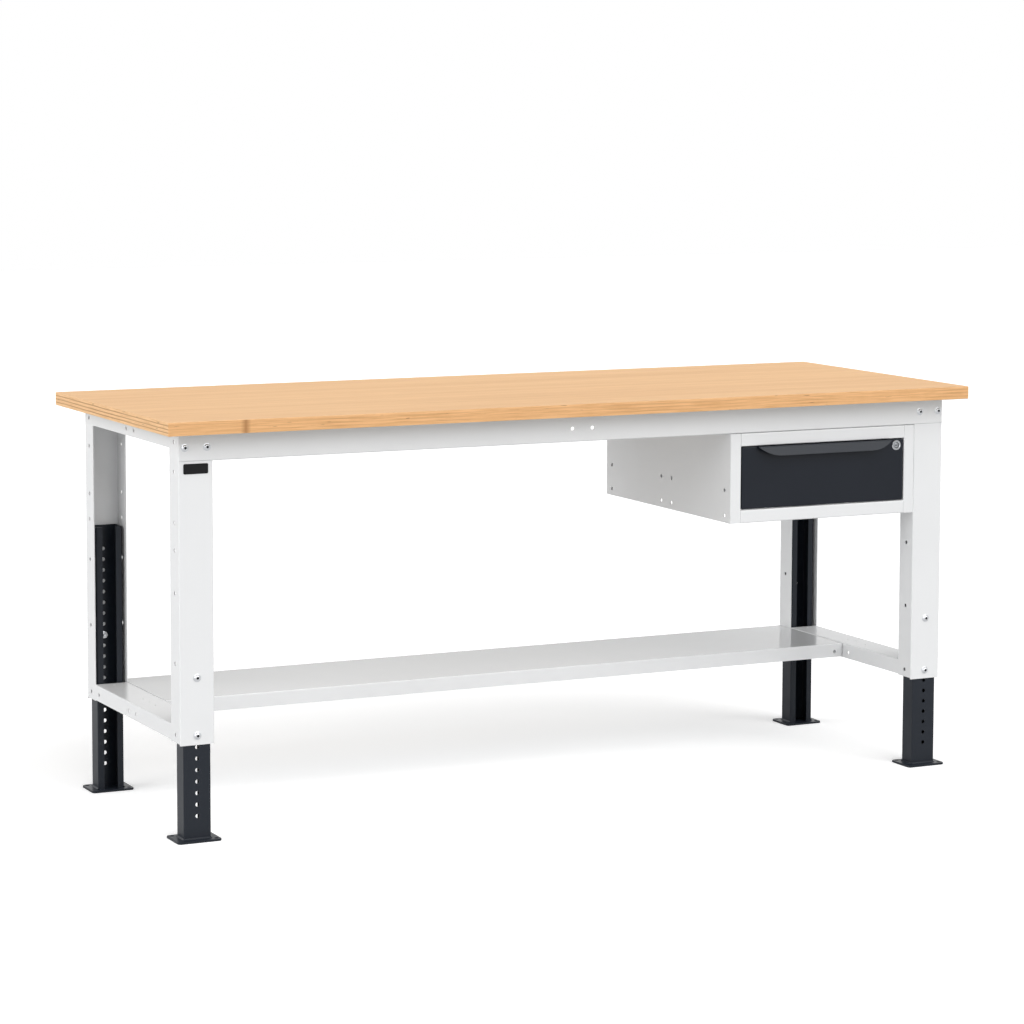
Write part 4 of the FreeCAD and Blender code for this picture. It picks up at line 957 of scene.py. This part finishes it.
bolt = bolt_mesh()
nut = nut_mesh()
screw = screw_mesh()
for joint, inward in (("rail", across_y), ("leg", across_y), ("shelf", to_ends), ("unit", into_unit)):
    fasteners(f"{joint}_bolt_set", bolt, f"{joint}_bolts", inward, HEAD_HEIGHT)
    fasteners(f"{joint}_nut_set", nut, f"{joint}_nuts", inward, 0)
fasteners("worktop_screw_set", screw, "worktop_screws", upward, SCREW_HEAD)
for shape in (bolt, nut, screw):
    shape.free()

# Plate on the front left post: a plain plate of black moulded plastic with rounded corners and a fine matt
# grain of 1 mm. It is stuck to the post's web, and is bare.
PLATE_BLACK = "0C0C0E"
PLATE_CORNER = 0.003
PLATE_ARRIS = 0.0003
GRAINS_PER_METRE = 900.0
plate_plastic, tree, shader, place = start_material("black_plastic_plate")
grain = add_node(tree, "ShaderNodeTexNoise", {"Scale": GRAINS_PER_METRE}, {"Vector": place})
bump = add_node(
    tree, "ShaderNodeBump", {"Strength": 0.08, "Distance": 0.0002}, {"Height": grain.outputs["Fac"]}
)
shader.inputs["Base Color"].default_value = linear(PLATE_BLACK)
shader.inputs["Roughness"].default_value = 0.4
shader.inputs["Specular IOR Level"].default_value = 0.2
tree.links.new(bump.outputs["Normal"], shader.inputs["Normal"])
low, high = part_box("blank_plate")
plate = bmesh.new()
rounded_plate(plate, (low[0], low[2]), (high[0], high[2]), PLATE_CORNER, high[1] - low[1], PLATE_ARRIS)
plate_at = Matrix(((1, 0, 0, 0), (0, 0, -1, high[1]), (0, 1, 0, 0), (0, 0, 0, 1)))
finish_piece(moved(plate, plate_at), "bare_plate", "frame", [plate_plastic], ["blank_plate"])
plate.free()

# Worktop: a beech plywood board, 30 mm thick, with softened edges. Its sanded and lacquered face shows
# straight beech grain along the bench, its edges show the plies, and its underside is bare, paler veneer.
BOARD_ARRIS = 0.0015
BEECH = "F4C897"
BEECH_DARK = "E6B787"
BARE_BEECH = "E9DFD2"
BARE_BEECH_DARK = "DDD0BF"
PLY_LIGHT = "F9CD99"
PLY_LONG = "EFBB85"
PLY_DARK = "C9965F"
PLY_GLUE = "A9784A"
FLECK_DARK = "5F3B20"
PLY_LINE_SHARES = (0.26, 0.50, 0.76)
PLY_LINE_HALF_SHARE = 0.022
PLY_LINE_FADE_SHARE = 0.035
PLY_WANDER = 0.0008
KNOT_X = -0.826
KNOT_HALF = 0.012
# Waves per metre along the bench, across it and up. Streaks are 40 mm wide, grain 2.4 mm and rays 1.1 mm. On
# the edges the fibres are 1.6 mm thick and the cracks 2.4 mm, all about twice as coarse as real, to show.
STREAKS = (1.2, 26.0, 26.0)
GRAIN = (14.0, 420.0, 420.0)
RAYS = (160.0, 900.0, 900.0)
FIBRES = (14.0, 14.0, 620.0)
CRACKS = (24.0, 24.0, 420.0)
SWAY = (3.0, 3.0, 3.0)
PATCHES_PER_METRE = 7.0


def beech_face(name, pale, dark):
    """Rotary-cut beech veneer, sanded: a pale tan with long soft streaks and short dark rays, nearly matt."""
    material, tree, shader, place = start_material(name)
    broad = add_node(tree, "ShaderNodeMapping", {"Scale": STREAKS}, {"Vector": place})
    streak = add_node(
        tree,
        "ShaderNodeTexNoise",
        {"Scale": 1.0, "Detail": 5.0, "Roughness": 0.6},
        {"Vector": broad.outputs[0]},
    )
    fine = add_node(tree, "ShaderNodeMapping", {"Scale": GRAIN}, {"Vector": place})
    grain = add_node(
        tree,
        "ShaderNodeTexNoise",
        {"Scale": 1.0, "Detail": 3.0, "Roughness": 0.6},
        {"Vector": fine.outputs[0]},
    )
    short = add_node(tree, "ShaderNodeMapping", {"Scale": RAYS}, {"Vector": place})
    ray = add_node(tree, "ShaderNodeTexNoise", {"Scale": 1.0, "Detail": 1.0}, {"Vector": short.outputs[0]})
    tone = add_node(
        tree,
        "ShaderNodeMapRange",
        {"From Min": 0.34, "From Max": 0.72, "To Min": 0.0, "To Max": 0.8},
        {"Value": streak.outputs["Fac"]},
    )
    base = add_node(
        tree,
        "ShaderNodeMix",
        {"data_type": "RGBA", MIX_A: linear(pale), MIX_B: linear(dark)},
        {MIX_SHARE: tone.outputs["Result"]},
    )
    thread = add_node(
        tree,
        "ShaderNodeMapRange",
        {"From Min": 0.35, "From Max": 0.65, "To Min": 0.93, "To Max": 1.03},
        {"Value": grain.outputs["Fac"]},
    )
    threaded = add_node(
        tree,
        "ShaderNodeMix",
        {"data_type": "RGBA", "blend_type": "MULTIPLY", MIX_SHARE: 1.0},
        {MIX_A: base.outputs[MIXED], MIX_B: thread.outputs["Result"]},
    )
    flecks = add_node(
        tree,
        "ShaderNodeMapRange",
        {"From Min": 0.66, "From Max": 0.74, "To Min": 0.0, "To Max": 0.35},
        {"Value": ray.outputs["Fac"]},
    )
    speckled = add_node(
        tree,
        "ShaderNodeMix",
        {"data_type": "RGBA", MIX_B: linear(PLY_DARK)},
        {MIX_SHARE: flecks.outputs["Result"], MIX_A: threaded.outputs[MIXED]},
    )
    bump = add_node(
        tree, "ShaderNodeBump", {"Strength": 0.06, "Distance": 0.0003}, {"Height": grain.outputs["Fac"]}
    )
    tree.links.new(speckled.outputs[MIXED], shader.inputs["Base Color"])
    tree.links.new(bump.outputs["Normal"], shader.inputs["Normal"])
    shader.inputs["Roughness"].default_value = 0.6
    shader.inputs["Specular IOR Level"].default_value = 0.2
    return material


def beech_edge(name, bottom, top, pale, lines):
    """The cut edge of the board: plies, darker lines between them, fibres along the edge and small cracks."""
    material, tree, shader, place = start_material(name)
    parts = add_node(tree, "ShaderNodeSeparateXYZ", links={"Vector": place})
    wander = add_node(tree, "ShaderNodeMapping", {"Scale": SWAY}, {"Vector": place})
    sway = add_node(tree, "ShaderNodeTexNoise", {"Scale": 1.0, "Detail": 2.0}, {"Vector": wander.outputs[0]})
    drift = add_node(
        tree,
        "ShaderNodeMapRange",
        {**NOISE_BAND, "To Min": -PLY_WANDER, "To Max": PLY_WANDER},
        {"Value": sway.outputs["Fac"]},
    )
    level = add_node(
        tree, "ShaderNodeMath", {"operation": "ADD"}, {0: parts.outputs["Z"], 1: drift.outputs["Result"]}
    )
    share = add_node(
        tree,
        "ShaderNodeMapRange",
        {"From Min": bottom, "From Max": top, "To Min": 0.0, "To Max": 1.0},
        {"Value": level.outputs[0]},
    )
    plies = add_node(tree, "ShaderNodeValToRGB", links={"Fac": share.outputs["Result"]})
    ramp = plies.color_ramp
    ramp.elements[0].color = linear(pale)
    ramp.elements[1].color = linear(BEECH)
    for line in PLY_LINE_SHARES:
        for side in (-1, 1):
            fade = PLY_LINE_HALF_SHARE + PLY_LINE_FADE_SHARE
            ramp.elements.new(line + side * PLY_LINE_HALF_SHARE).color = linear(PLY_GLUE)
            ramp.elements.new(line + side * fade).color = linear(pale)
    patches = add_node(
        tree, "ShaderNodeTexNoise", {"Scale": PATCHES_PER_METRE, "Detail": 2.0}, {"Vector": place}
    )
    showing = add_node(
        tree,
        "ShaderNodeMapRange",
        {"From Min": 0.42, "From Max": 0.62, "To Min": lines[0], "To Max": lines[1]},
        {"Value": patches.outputs["Fac"]},
    )
    layered = add_node(
        tree,
        "ShaderNodeMix",
        {"data_type": "RGBA", MIX_A: linear(pale)},
        {MIX_SHARE: showing.outputs["Result"], MIX_B: plies.outputs["Color"]},
    )
    along = add_node(tree, "ShaderNodeMapping", {"Scale": FIBRES}, {"Vector": place})
    fibre = add_node(
        tree,
        "ShaderNodeTexNoise",
        {"Scale": 1.0, "Detail": 4.0, "Roughness": 0.65},
        {"Vector": along.outputs[0]},
    )
    thread = add_node(
        tree,
        "ShaderNodeMapRange",
        {"From Min": 0.42, "From Max": 0.68, "To Min": 0.0, "To Max": 0.8},
        {"Value": fibre.outputs["Fac"]},
    )
    base = add_node(
        tree,
        "ShaderNodeMix",
        {"data_type": "RGBA", MIX_B: linear(PLY_DARK)},
        {MIX_SHARE: thread.outputs["Result"], MIX_A: layered.outputs[MIXED]},
    )
    past_knot = add_node(
        tree, "ShaderNodeMath", {"operation": "SUBTRACT", 1: KNOT_X}, {0: parts.outputs["X"]}
    )
    from_knot = add_node(tree, "ShaderNodeMath", {"operation": "ABSOLUTE"}, {0: past_knot.outputs[0]})
    knot = add_node(
        tree,
        "ShaderNodeMapRange",
        {"From Min": 0.0, "From Max": KNOT_HALF, "To Min": 0.9, "To Max": 0.0},
        {"Value": from_knot.outputs[0]},
    )
    knotted = add_node(
        tree,
        "ShaderNodeMix",
        {"data_type": "RGBA", MIX_B: linear(PLY_GLUE)},
        {MIX_SHARE: knot.outputs["Result"], MIX_A: base.outputs[MIXED]},
    )
    cracks = add_node(tree, "ShaderNodeMapping", {"Scale": CRACKS}, {"Vector": place})
    crack = add_node(tree, "ShaderNodeTexNoise", {"Scale": 1.0, "Detail": 2.0}, {"Vector": cracks.outputs[0]})
    gaps = add_node(
        tree,
        "ShaderNodeMapRange",
        {"From Min": 0.70, "From Max": 0.74, "To Min": 0.0, "To Max": 0.85},
        {"Value": crack.outputs["Fac"]},
    )
    marked = add_node(
        tree,
        "ShaderNodeMix",
        {"data_type": "RGBA", MIX_B: linear(FLECK_DARK)},
        {MIX_SHARE: gaps.outputs["Result"], MIX_A: knotted.outputs[MIXED]},
    )
    bump = add_node(
        tree, "ShaderNodeBump", {"Strength": 0.15, "Distance": 0.0004}, {"Height": fibre.outputs["Fac"]}
    )
    tree.links.new(marked.outputs[MIXED], shader.inputs["Base Color"])
    tree.links.new(bump.outputs["Normal"], shader.inputs["Normal"])
    shader.inputs["Roughness"].default_value = 0.5
    shader.inputs["Specular IOR Level"].default_value = 0.3
    return material


low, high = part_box("worktop")
board = bmesh.new()
extruded(board, oblong((low[0], low[1]), (high[0], high[1])), low[2], high[2], "Z")
bmesh.ops.bevel(board, geom=board.edges[:], offset=BOARD_ARRIS, segments=3, affect="EDGES", profile=0.5)
bmesh.ops.recalc_face_normals(board, faces=board.faces)
FACE, END, LONG_EDGE, UNDERSIDE = range(4)
LIES_LEVEL = 0.7
for face in board.faces:
    if abs(face.normal.z) > LIES_LEVEL:
        face.material_index = FACE if face.normal.z > 0 else UNDERSIDE
    else:
        face.material_index = END if abs(face.normal.x) > abs(face.normal.y) else LONG_EDGE
board_looks = [
    beech_face("lacquered_beech_face", BEECH, BEECH_DARK),
    beech_edge("beech_plywood_end", low[2], high[2], PLY_LIGHT, (0.75, 1.0)),
    beech_edge("beech_plywood_long_edge", low[2], high[2], PLY_LONG, (0.1, 0.5)),
    beech_face("bare_beech_underside", BARE_BEECH, BARE_BEECH_DARK),
]
finish_piece(board, "worktop_board", "frame", board_looks, ["worktop"])

# Studio: a seamless white floor and an even white surround, with one broad lamp beside the left end and one
# overhead in front. To the camera and in reflections, floor and surround are whiter than the light they give.
FLOOR_SPAN = 40.0
FLOOR_PAPER = "CCCCCC"
FLOOR_SEEN = "FBFBFB"
FLOOR_LIFT = 0.36
WORLD_LEVEL = 0.30
WHITE = (1, 1, 1, 1)
LAMP_SPREAD = math.radians(60)
# Each lamp's strength, and the way to it.
LAMPS = {
    "side_softbox": (1.96, (-0.94, 0.0, 0.34)),
    "overhead_softbox": (2.14, (0.2, -0.75, 0.63)),
}


def looked_at(tree):
    """Whether the camera looks at a surface, and whether the camera or a reflection does."""
    ray = add_node(tree, "ShaderNodeLightPath")
    by_camera = ray.outputs["Is Camera Ray"]
    either = add_node(
        tree, "ShaderNodeMath", {"operation": "MAXIMUM"}, {0: by_camera, 1: ray.outputs["Is Glossy Ray"]}
    )
    return by_camera, either.outputs[0]


floor_material, tree, shader, place = start_material("white_studio_floor")
by_camera, either = looked_at(tree)
paper = add_node(
    tree,
    "ShaderNodeMix",
    {"data_type": "RGBA", MIX_A: linear(FLOOR_PAPER), MIX_B: linear(FLOOR_SEEN)},
    {MIX_SHARE: either},
)
lift = add_node(tree, "ShaderNodeMapRange", {"To Min": 0.0, "To Max": FLOOR_LIFT}, {"Value": by_camera})
shader.inputs["Roughness"].default_value = 0.9
shader.inputs["Specular IOR Level"].default_value = 0.0
shader.inputs["Emission Color"].default_value = WHITE
tree.links.new(paper.outputs[MIXED], shader.inputs["Base Color"])
tree.links.new(lift.outputs["Result"], shader.inputs["Emission Strength"])
floor = bmesh.new()
corners = oblong((-FLOOR_SPAN / 2, -FLOOR_SPAN / 2), (FLOOR_SPAN / 2, FLOOR_SPAN / 2))
floor.faces.new([floor.verts.new((x, y, 0)) for x, y in corners])
floor_data = bpy.data.meshes.new("studio_floor")
floor.to_mesh(floor_data)
floor.free()
floor_data.materials.append(floor_material)
floor_piece = bpy.data.objects.new("studio_floor", floor_data)
bpy.context.scene.collection.objects.link(floor_piece)

world = bpy.data.worlds.new("studio_surround")
bpy.context.scene.world = world
world.use_nodes = True
tree = world.node_tree
tree.nodes.clear()
either = looked_at(tree)[1]
level = add_node(tree, "ShaderNodeMapRange", {"To Min": WORLD_LEVEL, "To Max": 1.0}, {"Value": either})
backdrop = add_node(tree, "ShaderNodeBackground", {"Color": WHITE}, {"Strength": level.outputs["Result"]})
add_node(tree, "ShaderNodeOutputWorld", links={"Surface": backdrop.outputs[0]})

for name, (energy, toward) in LAMPS.items():
    lamp_data = bpy.data.lights.new(name, "SUN")
    lamp_data.energy = energy
    lamp_data.angle = LAMP_SPREAD
    lamp = bpy.data.objects.new(name, lamp_data)
    bpy.context.scene.collection.objects.link(lamp)
    lamp.matrix_world = Vector(toward).to_track_quat("Z", "Y").to_matrix().to_4x4()
